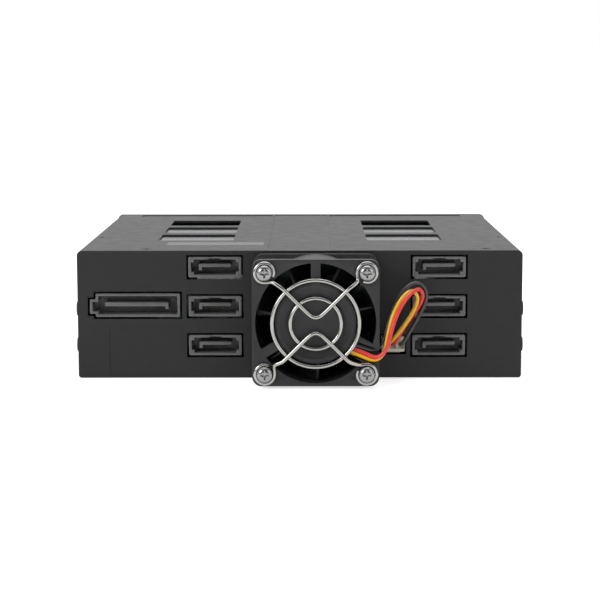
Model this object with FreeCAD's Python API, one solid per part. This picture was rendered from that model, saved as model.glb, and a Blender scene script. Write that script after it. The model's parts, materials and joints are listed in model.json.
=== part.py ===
import FreeCAD, Part
import math
import os

os.makedirs("parts", exist_ok=True)

V = FreeCAD.Vector
X_AXIS = V(1, 0, 0)
Y_AXIS = V(0, 1, 0)
Z_AXIS = V(0, 0, 1)

# Sizes in millimetres. The rear face lies at y = 0 while the pieces are drawn, the tray fronts
# look towards +Y, and everything is moved at the end so that the origin is under the middle.

# Drive that a bay takes
drive_width = 69.85
drive_height = 9.5
drive_length = 100.45
drive_holes_x = 61.72
drive_holes_y = 76.6
drive_hole_rear = 14.0
drive_plug_x = 4.8
drive_plug_z = 3.5

# Sheets and boards
shell_sheet = 0.6
cover_sheet = 0.6
rear_sheet = 1.0
divider_sheet = 0.5
shelf_sheet = 0.5
sled_sheet = 0.4
board_sheet = 1.6
shell_bend = 1.0
cover_bend = 1.5
sled_bend = 0.8
least_bend = 0.1

# Clearances
drive_play = 0.05
sled_play = 0.2
sled_lift = 0.1
cover_seam = 0.35
board_play = 0.2
tab_play = 0.1
port_gap = 0.7
lever_play = 0.2
pin_play = 0.06
button_play = 0.2
button_seat = 0.05
screw_thread_play = 0.05
past = 1.0

# Depths along the cage
port_length = 11.0
socket_depth = 6.0
socket_gap = 0.6
air_under_drive = 3.0
front_room = 18.35
bezel_depth = 4.35
bezel_side = 1.1
bezel_corner = 0.3

# Rear panel's flanges and the ears that hold the board
roof_flange_side = 6.0
floor_flange_side = 12.0
floor_flange_depth = 6.0
flange_gap = 0.5
ear_width = 7.0
ear_height = 6.0
ear_sheet = 1.0
ear_low = 4.0
ear_pitch = 27.0
label_edge = 10.2
label_width = 24.1
label_low = 1.1
label_height = 15.1
label_depth = 0.15
label_corner = 0.6

# Shelf tabs
tab_length = 8.0
tab_first = 36.0
tab_pitch = 56.0
tab_stagger = 14.0

# Fan
fan_size = 40.0
fan_depth = 20.0
fan_hole_inset = 4.0
fan_centre_x = 5.1
fan_centre_z = 20.75
fan_wall = 1.0
fan_flange = 3.2
fan_corner = 3.0
fan_disc = 12.8
fan_disc_depth = 2.2
fan_disc_step = 1.6
fan_disc_step_depth = 0.35
fan_strut = 3.0
strut_turns = (90.0, 210.0, 330.0)
wire_groove_depth = 1.5
wire_groove_half = 2.5
wire_groove_rim = 0.8
fan_hub = 12.2
fan_hub_wall = 1.2
fan_hub_gap = 0.4
fan_hub_bevel = 1.2
fan_blades = 7
fan_blade_gap = 0.5
fan_blade_sheet = 0.8
fan_blade_camber = 0.8
fan_blade_root = 0.4
fan_blade_root_spread = 3.2
fan_blade_tip_spread = 5.0
fan_blade_rear = 1.2
fan_blade_front = 1.4
fan_shaft = 1.0
fan_bush = 2.3
fan_bush_play = 0.02
fan_bush_floor = 0.8
fan_shaft_floor = 0.6
fan_shaft_end = 0.3
fan_tube = 3.1
fan_inner_gap = 2.2
core_length = 10.0
core_wall = 1.6
core_gap = 0.8
core_shoe = 1.4
core_arm = 2.6
core_slot = 2.0

# Guard wires
guard_wire = 1.3
guard_outer = 13.7
guard_inner = 8.0
guard_eye = 2.7
guard_lift = 0.3
guard_weld = 0.15
guard_top_apex = 2.1
guard_low_apex = -2.8
guard_bend = 3.0
guard_ramp_bend = 2.0
guard_ramp_out = 0.6
guard_eye_open = 30.0
guard_eye_start = 14.0
guard_sides = 8

# Screws
fan_screw = 1.45
fan_screw_head = 2.5
fan_screw_head_height = 1.7
fan_screw_rim = 0.85
fan_screw_crown = 1.8
fan_screw_hole = 2.15
cross_width = 0.6
cross_reach = 1.5
cross_depth = 0.9
cover_screw = 1.0
cover_screw_head = 1.95
cover_screw_depth = 2.0
cover_cross_width = 0.44
cover_cross_reach = 1.1
cover_cross_depth = 0.35
board_screw = 1.25
board_screw_head = 2.2
board_screw_head_height = 1.5

# Side screw holes of a 5.25-inch bay
side_hole = 1.5
side_boss = 2.3
side_boss_flare = 0.3
side_boss_out = 1.0
side_hole_play = 0.2
side_hole_y = 7.0
side_pitch_y = 79.25
side_hole_z = 10.0
side_pitch_z = 11.84

# Data sockets in the rear
port_width = 17.1
port_height = 6.6
port_wall = 0.8
port_depth = 7.5
port_corner = 0.5
port_relief = 0.9
port_notch = 4.0
port_notch_height = 0.35
port_notch_short = 2.0
port_spacing_x = 72.5
port_middle_x = 8.85
port_low_z = 10.7
port_pitch_z = 12.75
tongue_width = 10.4
tongue_sheet = 1.0
tongue_leg = 2.1
tongue_back = 0.8
tongue_root = 0.5

# Power socket in the rear
power_edge = 5.9
power_width = 27.3
power_low = 20.0
power_height = 7.6
power_tab = 1.9
power_tab_rise = 1.0
power_tab_height = 4.7
power_tongue_width = 20.6
power_tongue_edge = 2.9
power_tongue_sheet = 1.2
power_tongue_drop = 0.4

# Drive sockets on the board
socket_width = 37.2
socket_height = 5.6
socket_corner = 0.5
socket_post_reach = 21.4
socket_post_height = 4.0
socket_post_short = 2.2
socket_slot_depth = 4.6
socket_slot_height = 1.4
socket_slot_edge = 2.0
socket_power_length = 21.0
socket_data_length = 10.6
socket_key_width = 1.4
socket_key_drop = 1.2
air_slot_in = 2.0
air_slot_out = 27.0
air_slot_low = 1.0
air_slot_height = 3.6
air_slot_corner = 1.0

# Windows and recesses of the cover
window_in = 22.8
window_out = 48.4
window_first = 34.0
window_length = 20.5
window_pitch = 27.3
window_corner = 1.2
strip_in = 11.0
strip_out = 62.5
strip_back = 0.65
strip_length = 7.0
recess_depth = 0.25
band_half = 10.4
band_depth = 0.15
cover_lip = 3.5
cover_screw_left = -50.1
cover_screw_right = 60.8
cover_screw_y = 6.25
cover_rivet_side = 3.2
cover_rivet_y = 44.0
cover_rivet = 0.7

# Tray sled
sled_open_width = 50.0
sled_open_rim = 2.8
sled_open_corner = 3.0
sled_hole = 1.6
sled_lead = 3.0

# Tray front
face_room = 14.0
face_rebate = 5.0
face_pocket = 4.5
face_pocket_side = 2.2
face_pocket_rim = 1.4
face_corner = 0.5
face_wall = 1.0
face_vent_first = 9.0
face_vent_pitch = 5.6
face_vent_width = 3.2
face_vent_height = 5.6
recess_back = 7.9
recess_height = 7.4
lamp_hole = 0.9
lamp_gap = 2.4
button_edge = 3.175
button_width = 7.6
button_depth = 9.1
button_flange = 0.7
button_corner = 0.7
button_groove = 0.5
button_groove_depth = 0.4
button_groove_pitch = 1.6
button_groove_side = 1.4

# Pull lever
pivot_in = 4.0
pivot_back = 4.0
lever_boss = 2.6
lever_nose = 3.6
lever_nose_height = 3.2
lever_nose_root = 3.0
lever_nose_tip = 1.4
lever_nose_slot = 2.4
lever_gap = 2.6
lever_end_gap = 0.5
lever_sheet = 2.8
lever_neck = 5.0
lever_neck_bend = 3.0
lever_shoulder = 6.5
lever_shoulder_bend = 8.0
lever_grip_bend = 1.6
lever_pin = 1.2
lever_pin_length = 1.1
lever_slot_first = 11.0
lever_slot_pitch = 5.6
lever_slot_width = 2.4
lever_slot_height = 4.4
lever_slot_corner = 0.8

# Fan lead with its header and plug
wire_diameter = 1.3
header_x = 30.1
header_low = 8.3
header_width = 7.6
header_height = 5.2
header_base = 3.2
header_wall = 0.9
header_wall_side = 1.2
plug_length = 12.0
plug_width = 7.4
plug_play = 0.1
plug_rib_x = 2.4
plug_rib_width = 0.8
plug_rib_height = 0.5
plug_rib_short = 7.0
pin_pitch = 2.54
pin_side = 0.64
pin_hole = 0.8
pin_length = 10.0
pin_room = 0.2
groove_start = (15.9, 13.1)
groove_end = (26.0, 9.4)

# Routes of the wires from the motor base to the plug, chosen by hand
wire_routes = {
    "fan_wire_yellow": [
        V(15.44, -19.35, 11.83), V(19.0, -19.35, 10.52), V(23.7, -19.5, 8.5), V(26.9, -19.8, 11.4),
        V(27.6, -20.0, 16.6), V(29.2, -19.3, 23.2), V(32.0, -16.6, 28.2), V(35.5, -13.4, 30.8),
        V(37.9, -10.8, 27.8), V(36.4, -10.6, 23.4), V(32.6, -10.8, 17.6), V(28.4, -9.6, 12.3),
        V(27.56, -4.3, 11.35),
    ],
    "fan_wire_red": [
        V(15.9, -19.35, 13.1), V(19.6, -19.35, 11.74), V(24.3, -20.8, 9.6), V(27.4, -21.4, 12.5),
        V(28.4, -21.4, 17.2), V(30.0, -20.7, 22.6), V(32.3, -19.2, 27.0), V(35.3, -16.6, 30.2),
        V(38.2, -13.2, 31.0), V(39.5, -10.6, 28.0), V(37.6, -9.0, 23.8), V(33.6, -8.6, 18.2),
        V(30.6, -8.3, 12.6), V(30.1, -4.3, 11.35),
    ],
    "fan_wire_black": [
        V(16.36, -19.35, 14.37), V(19.6, -19.35, 13.18), V(23.5, -19.2, 11.7), V(26.5, -18.4, 14.6),
        V(27.5, -17.9, 19.4), V(31.0, -15.2, 28.4), V(35.2, -13.2, 32.6), V(38.9, -11.8, 32.4),
        V(40.9, -9.8, 28.1), V(38.9, -9.0, 23.0), V(35.9, -9.3, 17.7), V(33.0, -8.6, 12.4),
        V(32.64, -4.3, 11.35),
    ],
}

# Worked out from the sizes above
sled_width = drive_width + 2 * drive_play + 2 * sled_sheet
bay_width = sled_width + 2 * sled_play
bay_height = air_under_drive + drive_height + sled_sheet + sled_play
wall_sheet = max(shell_sheet, cover_sheet)
cage_width = 2 * bay_width + divider_sheet + 2 * wall_sheet
cage_height = shell_sheet + 3 * bay_height + 2 * shelf_sheet + cover_sheet
half_width = cage_width / 2
inside = half_width - wall_sheet
roof = cage_height - cover_sheet
board_front = port_length + board_sheet
sled_rear = board_front + socket_depth + socket_gap
cage_depth = sled_rear + drive_length + front_room
bezel_back = cage_depth - bezel_depth
seam_z = cage_height - cover_lip
strip_first = bezel_back - strip_back - strip_length
sled_height = bay_height - sled_play - sled_lift
face_back = cage_depth - face_room
sled_front = face_back + face_rebate
button_left = sled_width / 2 - button_edge - button_width
lamp_x = button_left - lamp_gap
lever_end = lamp_x - lever_gap
power_left = power_edge - half_width
power_right = power_left + power_width
power_high = power_low + power_height
power_tab_low = power_low + power_tab_rise
power_tab_high = power_tab_low + power_tab_height
label_left = label_edge - half_width
fan_face = -fan_depth
fan_half = fan_size / 2
fan_bore = fan_half - fan_wall
fan_hole_reach = fan_half - fan_hole_inset
tube_end = -fan_inner_gap - fan_hub_wall - fan_hub_gap
head_seat = fan_face - guard_wire
rear_y = (fan_screw_head_height - head_seat - cage_depth) / 2
plug_front = port_length - header_base - plug_play
plug_rear = plug_front - plug_length
plug_low = header_low + header_wall
plug_middle_z = (plug_low + header_low + header_height) / 2


# Outlines and plain shapes

def box(x0, x1, y0, y1, z0, z1):
    """Block between two corners."""
    return Part.makeBox(x1 - x0, y1 - y0, z1 - z0, V(x0, y0, z0))


def rect(u0, u1, v0, v1):
    """Four corners of a rectangle, anticlockwise."""
    return [(u0, v0), (u1, v0), (u1, v1), (u0, v1)]


def rounded_wire(corners, radii, place):
    """Closed outline through the corners, with an arc at each corner that has a radius."""
    count = len(corners)
    if not isinstance(radii, (list, tuple)):
        radii = [radii] * count
    ends = []
    edges = []
    for i, radius in enumerate(radii):
        here = V(corners[i][0], corners[i][1], 0)
        before = V(*corners[i - 1], 0) - here
        after = V(*corners[(i + 1) % count], 0) - here
        before.normalize()
        after.normalize()
        if radius <= 0:
            ends.append((here, None, here))
            continue
        half = before.getAngle(after) / 2
        reach = radius / math.tan(half)
        middle = before + after
        middle.normalize()
        middle.multiply(radius / math.sin(half) - radius)
        ends.append((here + before * reach, here + middle, here + after * reach))
    for i, (start, middle, end) in enumerate(ends):
        if middle is not None:
            edges.append(Part.Arc(place(start), place(middle), place(end)).toShape())
        following = ends[(i + 1) % count][0]
        if end.distanceToPoint(following) > 1e-6:
            edges.append(Part.LineSegment(place(end), place(following)).toShape())
    return Part.Wire(edges)


def prism(corners, radii, axis, start, end):
    """Solid with a rounded outline across x, y or z, from start to end along that axis."""
    places = {
        "x": lambda p: V(start, p.x, p.y),
        "y": lambda p: V(p.x, start, p.y),
        "z": lambda p: V(p.x, p.y, start),
    }
    along = {"x": X_AXIS, "y": Y_AXIS, "z": Z_AXIS}[axis]
    face = Part.Face(rounded_wire(corners, radii, places[axis]))
    return face.extrude(along * (end - start))


def rod(axis, centre, radius, start, end):
    """Round bar along x, y or z; centre gives the two other coordinates in order."""
    u, v = centre
    at = {"x": V(start, u, v), "y": V(u, start, v), "z": V(u, v, start)}[axis]
    along = {"x": X_AXIS, "y": Y_AXIS, "z": Z_AXIS}[axis]
    return Part.makeCylinder(radius, end - start, at, along)


def turned(profile, x, z):
    """Solid of revolution about the line along y at x and z; profile lists radius and y."""
    points = [V(x + radius, y, z) for radius, y in profile]
    face = Part.Face(Part.makePolygon(points + [points[0]]))
    return face.revolve(V(x, 0, z), Y_AXIS, 360)


def channel(half, low, high, sheet, bend, start, end):
    """Sheet bent into a channel that opens downwards, running along y."""
    corners = [
        (-half, low), (-half, high), (half, high), (half, low),
        (half - sheet, low), (half - sheet, high - sheet),
        (-half + sheet, high - sheet), (-half + sheet, low),
    ]
    inner = max(bend - sheet, least_bend)
    return prism(corners, [0, bend, bend, 0, 0, inner, inner, 0], "y", start, end)


def swept(profile, points, radii):
    """Solid that carries a flat face along straight runs joined by arcs."""
    face = profile.copy()
    pieces = []
    here = points[0]
    for i in range(1, len(points) - 1):
        back = points[i - 1] - points[i]
        ahead = points[i + 1] - points[i]
        back.normalize()
        ahead.normalize()
        angle = back.getAngle(ahead)
        reach = radii[i] / math.tan(angle / 2)
        middle = back + ahead
        middle.normalize()
        centre = points[i] + middle * (radii[i] / math.sin(angle / 2))
        run = points[i] + back * reach - here
        if run.Length > 1e-6:
            pieces.append(face.extrude(run))
            face.translate(run)
        turn = 180 - math.degrees(angle)
        axis = ahead.cross(back)
        pieces.append(face.revolve(centre, axis, turn))
        face.rotate(centre, axis, turn)
        here = points[i] + ahead * reach
    pieces.append(face.extrude(points[-1] - here))
    return join(pieces)


def join(shapes):
    """One solid from touching or crossing solids."""
    return shapes[0].multiFuse(shapes[1:]).removeSplitter()


def cut(shape, tools):
    """Shape less all the tools."""
    return shape.cut(Part.makeCompound(tools))


def group(shapes):
    """Separate solids that share one node."""
    return Part.makeCompound(shapes)


def mirrored_span(side, near, far):
    """Lower and upper end of a span given from the middle, on side -1 or 1."""
    return sorted((side * near, side * far))


def cross_recess(at, axis, width, reach, depth):
    """Two crossing slots of a driver recess, from the surface at one point into the head."""
    slots = []
    for angle in (0, 90):
        slot = Part.makeBox(2 * reach, width, 2 * depth, V(-reach, -width / 2, -depth))
        slot.rotate(V(0, 0, 0), Z_AXIS, angle)
        if axis == Y_AXIS:
            slot.rotate(V(0, 0, 0), X_AXIS, 90)
        slot.translate(at)
        slots.append(slot)
    return slots


def save(name, shape):
    """Write one node after moving it to its place about the origin."""
    moved = shape.copy()
    moved.translate(V(0, rear_y, 0))
    moved.exportStep("parts/" + name + ".step")


# Places that more than one piece uses

def bay_x(column):
    """Middle of a column of bays; column is -1 or 1."""
    return column * (divider_sheet + bay_width) / 2


def bay_z(row):
    """Floor of a row of bays, counted from the bottom."""
    return shell_sheet + row * (bay_height + shelf_sheet)


def sled_top(row):
    """Upper face of a tray's sled."""
    return bay_z(row) + bay_height - sled_play


def bays():
    """Number, column and row of each bay, down the left column and then the right."""
    number = 0
    for column in (-1, 1):
        for row in (2, 1, 0):
            number += 1
            yield number, column, row


def tab_starts(column):
    """Where the tabs of a column's shelves begin; the two columns are staggered."""
    shift = tab_stagger if column > 0 else 0.0
    return [tab_first + shift + i * tab_pitch for i in (0, 1)]


def tab_slots(column, side):
    """Slots for the tabs of a column's shelves, through the wall at the two x values of side."""
    slots = []
    for row in (1, 2):
        for start in tab_starts(column):
            slots.append(box(
                side[0], side[1], start - tab_play, start + tab_length + tab_play,
                bay_z(row) - shelf_sheet - tab_play, bay_z(row) + tab_play
            ))
    return slots


fan_corners = [
    (fan_centre_x + sx * fan_hole_reach, fan_centre_z + sz * fan_hole_reach)
    for sx in (-1, 1)
    for sz in (-1, 1)
]
side_holes = [
    (side_hole_y + i * side_pitch_y, side_hole_z + k * side_pitch_z)
    for i in (0, 1)
    for k in (0, 1)
]
ear_spots = [
    (side * (inside - ear_sheet - ear_width / 2), ear_low + k * ear_pitch + ear_height / 2)
    for side in (-1, 1)
    for k in (0, 1)
]
cover_screws_x = (cover_screw_left, cover_screw_right)


# Shell, cover and rear panel

def base_shell():
    """Floor and side walls from one bent sheet, with raised screw bosses."""
    corners = [
        (-half_width, seam_z), (-half_width, 0), (half_width, 0), (half_width, seam_z),
        (half_width - shell_sheet, seam_z), (half_width - shell_sheet, shell_sheet),
        (-half_width + shell_sheet, shell_sheet), (-half_width + shell_sheet, seam_z),
    ]
    inner = max(shell_bend - shell_sheet, least_bend)
    radii = [0, shell_bend, shell_bend, 0, 0, inner, inner, 0]
    shell = prism(corners, radii, "y", rear_sheet, bezel_back)
    bosses = []
    holes = []
    for side in (-1, 1):
        out = X_AXIS * side
        for y, z in side_holes:
            foot = V(side * (half_width - shell_sheet / 2), y, z)
            bosses.append(Part.makeCone(
                side_boss + side_boss_flare, side_boss, side_boss_out + shell_sheet / 2, foot, out
            ))
            start = V(side * (half_width - 1.5 * shell_sheet), y, z)
            holes.append(Part.makeCylinder(
                side_hole, side_boss_out + 2 * shell_sheet + past, start, out
            ))
        holes += tab_slots(side, mirrored_span(side, half_width - 2 * wall_sheet, half_width + past))
    return cut(join([shell] + bosses), holes)


def top_cover():
    """Roof sheet with turned-down lips, windows, front recesses and a sunk middle band."""
    start = rear_sheet + cover_seam
    cover = channel(half_width, seam_z, cage_height, cover_sheet, cover_bend, start, bezel_back)
    above = cage_height + past
    tools = []
    for side in (-1, 1):
        near, far = mirrored_span(side, window_in, window_out)
        for i in range(3):
            first = window_first + i * window_pitch
            tools.append(prism(
                rect(near, far, first, first + window_length), window_corner, "z", roof - past, above
            ))
        near, far = mirrored_span(side, strip_in, strip_out)
        tools.append(prism(
            rect(near, far, strip_first, strip_first + strip_length),
            window_corner, "z", cage_height - recess_depth, above
        ))
        rivet = (side * (half_width - cover_rivet_side), cover_rivet_y)
        tools.append(rod("z", rivet, cover_rivet, roof - past, above))
    tools.append(box(
        -band_half, band_half, start - past, strip_first + strip_length,
        cage_height - band_depth, above
    ))
    for x in cover_screws_x:
        at = V(x, cover_screw_y, roof)
        tools.append(Part.makeCone(cover_screw, cover_screw_head, cover_sheet, at))
        tools.append(rod("z", (x, cover_screw_y), cover_screw, roof - past, cage_height))
    return cut(cover, tools)


def port_opening(x0, x1, z0, z1):
    """Opening in the rear panel with the gap left round a socket."""
    return box(x0 - port_gap, x1 + port_gap, -past, 1.5 * rear_sheet, z0 - port_gap, z1 + port_gap)


def rear_panel():
    """Painted rear plate with its openings, forward flanges and the ears that hold the board."""
    outline = rect(-half_width, half_width, 0, cage_height)
    panel = prism(outline, [shell_bend, shell_bend, cover_bend, cover_bend], "y", 0, rear_sheet)
    root = rear_sheet / 2
    roof_half = half_width - roof_flange_side
    floor_half = half_width - floor_flange_side
    roof_flange_end = port_length - ear_sheet - flange_gap
    solids = [
        panel,
        box(-roof_half, roof_half, root, roof_flange_end, roof - rear_sheet, roof),
        box(-floor_half, floor_half, root, floor_flange_depth, shell_sheet, shell_sheet + rear_sheet),
    ]
    for side in (-1, 1):
        near, far = mirrored_span(side, inside, inside - ear_sheet)
        solids.append(box(
            near, far, root, port_length, ear_low, ear_low + ear_pitch + ear_height
        ))
        near, far = mirrored_span(side, inside - ear_sheet / 2, inside - ear_sheet - ear_width)
        for k in (0, 1):
            low = ear_low + k * ear_pitch
            solids.append(box(
                near, far, port_length - ear_sheet, port_length, low, low + ear_height
            ))
    tools = []
    for number, column, row in bays():
        x, z = port_middle(column, row)
        tools.append(port_opening(
            x - port_width / 2, x + port_width / 2, z - port_height / 2, z + port_height / 2
        ))
    tools.append(port_opening(power_left, power_right, power_low, power_high))
    tools.append(port_opening(power_left - power_tab, power_left, power_tab_low, power_tab_high))
    tools.append(port_opening(
        header_x - header_width / 2, header_x + header_width / 2,
        header_low, header_low + header_height
    ))
    through = 1.5 * rear_sheet
    tools.append(rod("y", (fan_centre_x, fan_centre_z), fan_bore, -past, through))
    for spot in fan_corners:
        tools.append(rod("y", spot, fan_screw + screw_thread_play, -past, through))
    tools.append(prism(
        rect(label_left, label_left + label_width, label_low, label_low + label_height),
        label_corner, "y", -past, label_depth
    ))
    for y, z in side_holes[:2]:
        reach = half_width + past
        tools.append(rod("x", (y, z), side_hole + side_hole_play, -reach, reach))
    for x in cover_screws_x:
        hole = cover_screw + screw_thread_play
        tools.append(rod("z", (x, cover_screw_y), hole, roof - rear_sheet - past, roof + past))
    for spot in ear_spots:
        hole = board_screw + screw_thread_play
        start = port_length - ear_sheet - past
        tools.append(rod("y", spot, hole, start, port_length + past))
    return cut(join(solids), tools)


def front_bezel():
    """Ring round the six tray fronts."""
    outer = rect(-inside - bezel_side, inside + bezel_side, 0, cage_height)
    inner = rect(-inside, inside, shell_sheet, roof)
    corners = [shell_bend, shell_bend, cover_bend, cover_bend]
    ring = prism(outer, corners, "y", bezel_back, cage_depth)
    return ring.cut(prism(inner, bezel_corner, "y", bezel_back - past, cage_depth + past))


def centre_divider():
    """Upright sheet between the two columns, slotted for the shelf tabs."""
    half = divider_sheet / 2
    sheet = box(-half, half, board_front, bezel_back, shell_sheet, roof)
    slots = []
    for column in (-1, 1):
        slots += tab_slots(column, (-divider_sheet, divider_sheet))
    return cut(sheet, slots)


def shelf(column, row):
    """Flat floor of a bay, with tabs in the side wall and the divider."""
    high = bay_z(row)
    low = high - shelf_sheet
    middle = bay_x(column)
    half = bay_width / 2
    plate = box(middle - half, middle + half, sled_rear - socket_gap, bezel_back, low, high)
    reach_in = half + divider_sheet
    reach_out = half + wall_sheet
    ends = (-reach_in, reach_out) if column > 0 else (-reach_out, reach_in)
    tabs = [
        box(middle + ends[0], middle + ends[1], start, start + tab_length, low, high)
        for start in tab_starts(column)
    ]
    return join([plate] + tabs)


# Backplane with its sockets and ports

def backplane_board():
    """Circuit board across the cage, open for air below each row of sockets."""
    edge = inside - board_play
    outline = rect(-edge, edge, shell_sheet, roof - board_play)
    board = prism(outline, cover_bend, "y", port_length, board_front)
    start = port_length - past
    end = board_front + past
    tools = []
    for column in (-1, 1):
        for row in range(3):
            low = bay_z(row) + air_slot_low
            for side in (-1, 1):
                near, far = mirrored_span(side, air_slot_in, air_slot_out)
                near += bay_x(column)
                far += bay_x(column)
                tools.append(prism(
                    rect(near, far, low, low + air_slot_height), air_slot_corner, "y", start, end
                ))
    for spot in ear_spots:
        tools.append(rod("y", spot, board_screw + screw_thread_play, start, end))
    return cut(board, tools)


def board_screws():
    """Four pan-head screws that hold the board to the rear panel's ears."""
    screws = []
    for spot in ear_spots:
        shank = rod("y", spot, board_screw, port_length - ear_sheet, board_front)
        head = rod("y", spot, board_screw_head, board_front, board_front + board_screw_head_height)
        screws.append(join([shank, head]))
    return group(screws)


def cover_screws():
    """Two countersunk screws in the cover's rear edge."""
    screws = []
    for x in cover_screws_x:
        head = Part.makeCone(cover_screw, cover_screw_head, cover_sheet, V(x, cover_screw_y, roof))
        shank = rod("z", (x, cover_screw_y), cover_screw, roof - cover_screw_depth, roof)
        at = V(x, cover_screw_y, cage_height)
        slots = cross_recess(at, Z_AXIS, cover_cross_width, cover_cross_reach, cover_cross_depth)
        screws.append(cut(join([head, shank]), slots))
    return group(screws)


def drive_socket(column, row):
    """Socket for a drive's power and data contacts, with two keyed slots and guide posts."""
    x = bay_x(column) + drive_plug_x
    z = sled_top(row) - sled_sheet - drive_plug_z
    half_w = socket_width / 2
    half_h = socket_height / 2
    front = board_front + socket_depth
    body = prism(
        rect(x - half_w, x + half_w, z - half_h, z + half_h), socket_corner, "y", board_front, front
    )
    posts = []
    for side in (-1, 1):
        near, far = mirrored_span(side, half_w, socket_post_reach)
        posts.append(box(
            x + near, x + far, board_front, front - socket_post_short,
            z - socket_post_height / 2, z + socket_post_height / 2
        ))
    slots = []
    left = x - half_w + socket_slot_edge
    right = x + half_w - socket_slot_edge
    bottom = z - socket_slot_height / 2
    top = z + socket_slot_height / 2
    start = front - socket_slot_depth
    spans = ((left, left + socket_power_length, left), (
        right - socket_data_length, right, right - socket_key_width
    ))
    for near, far, key in spans:
        slots.append(box(near, far, start, front + past, bottom, top))
        slots.append(box(
            key, key + socket_key_width, start, front + past, bottom - socket_key_drop, top
        ))
    return cut(join([body] + posts), slots)


def port_middle(column, row):
    """Middle of a data socket, as x and z."""
    return port_middle_x + column * port_spacing_x / 2, port_low_z + row * port_pitch_z


def data_port(column, row):
    """Data socket: a shroud with an L-shaped tongue and a latch notch in its upper wall."""
    x, z = port_middle(column, row)
    half_w = port_width / 2
    half_h = port_height / 2
    body = prism(
        rect(x - half_w, x + half_w, z - half_h, z + half_h), port_corner, "y", 0, port_length
    )
    wide = half_w - port_wall
    tall = half_h - port_wall
    step = port_relief
    cavity = prism(
        rect(x - wide + step, x + wide - step, z - tall, z + tall), 0, "y", -past, port_depth
    ).fuse(prism(
        rect(x - wide, x + wide, z - tall + step, z + tall - step), 0, "y", -past, port_depth
    ))
    notch = box(
        x - port_notch / 2, x + port_notch / 2, -past, port_depth - port_notch_short,
        z + tall - port_notch_height, z + tall + port_notch_height
    )
    shroud = cut(body, [cavity, notch])
    end = port_depth + tongue_root
    left = x - tongue_width / 2
    top = z + tongue_sheet
    tongue = box(left, left + tongue_width, tongue_back, end, z, top)
    leg = box(left, left + tongue_sheet, tongue_back, end, top - tongue_leg, top)
    return join([shroud, tongue, leg])


def power_port():
    """Power socket: a wide shroud with a narrower end and an L-shaped tongue."""
    body = join([
        prism(rect(power_left, power_right, power_low, power_high), port_corner, "y", 0, port_length),
        box(power_left - power_tab, power_left + port_wall, 0, port_length,
            power_tab_low, power_tab_high),
    ])
    cavity = join([
        box(power_left + port_wall, power_right - port_wall, -past, port_depth,
            power_low + port_wall, power_high - port_wall),
        box(power_left - power_tab + port_wall, power_left + 2 * port_wall, -past, port_depth,
            power_tab_low + port_wall, power_tab_high - port_wall),
    ])
    end = port_depth + tongue_root
    left = power_left + power_tongue_edge
    right = left + power_tongue_width
    low = (power_low + power_high) / 2 - power_tongue_drop
    top = low + power_tongue_sheet
    tongue = box(left, right, tongue_back, end, low, top)
    leg = box(right - tongue_sheet, right, tongue_back, end, top - tongue_leg, top)
    return join([body.cut(cavity), tongue, leg])


# Fan

def turned_about_fan(shape, angle):
    """Shape drawn from the fan's axis along +X, turned to an angle from +X towards +Z."""
    shape.rotate(V(0, 0, 0), Y_AXIS, -angle)
    shape.translate(V(fan_centre_x, 0, fan_centre_z))
    return shape


def groove_tool():
    """Channel that the three wires lie in, from the motor base out through the frame's edge."""
    run = V(groove_end[0] - groove_start[0], 0, groove_end[1] - groove_start[1])
    tool = Part.makeBox(
        run.Length + 2 * past, past + wire_groove_depth, 2 * wire_groove_half,
        V(0, 0, -wire_groove_half)
    )
    tool.rotate(V(0, 0, 0), Y_AXIS, -math.degrees(math.atan2(run.z, run.x)))
    tool.translate(V(groove_start[0], fan_face - past, groove_start[1]))
    return tool


def fan_frame():
    """Moulded frame: two flanges, the round wall, three struts, motor base and bearing tube."""
    centre = (fan_centre_x, fan_centre_z)
    outline = rect(
        fan_centre_x - fan_half, fan_centre_x + fan_half,
        fan_centre_z - fan_half, fan_centre_z + fan_half
    )
    shell = join([
        prism(outline, fan_corner, "y", fan_face, fan_face + fan_flange),
        prism(outline, fan_corner, "y", -fan_flange, 0),
        rod("y", centre, fan_half, fan_face, 0),
    ])
    tools = [rod("y", centre, fan_bore, fan_face - past, past)]
    for spot in fan_corners:
        tools.append(rod("y", spot, fan_screw_hole, fan_face - past, past))
    inner = [
        rod("y", centre, fan_disc, fan_face, fan_face + fan_disc_depth),
        rod("y", centre, fan_tube, fan_face, tube_end),
    ]
    for angle in strut_turns:
        wide = fan_strut
        if angle == strut_turns[-1]:
            wide = 2 * (wire_groove_half + wire_groove_rim)
        strut = box(
            0, fan_bore + fan_wall / 2, fan_face, fan_face + fan_disc_depth, -wide / 2, wide / 2
        )
        inner.append(turned_about_fan(strut, angle))
    frame = join([cut(shell, tools)] + inner)
    step = rod("y", centre, fan_disc - fan_disc_step, fan_face - past, fan_face + fan_disc_step_depth)
    bush_hole = rod("y", centre, fan_bush, fan_face + fan_bush_floor, past)
    return cut(frame, [step, bush_hole, groove_tool()])


def fan_bearing():
    """Sleeve in the bearing tube."""
    centre = (fan_centre_x, fan_centre_z)
    start = fan_face + fan_bush_floor
    sleeve = rod("y", centre, fan_bush, start, tube_end)
    bore = rod("y", centre, fan_shaft + fan_bush_play, start + fan_shaft_floor, tube_end + past)
    return sleeve.cut(bore)


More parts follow.
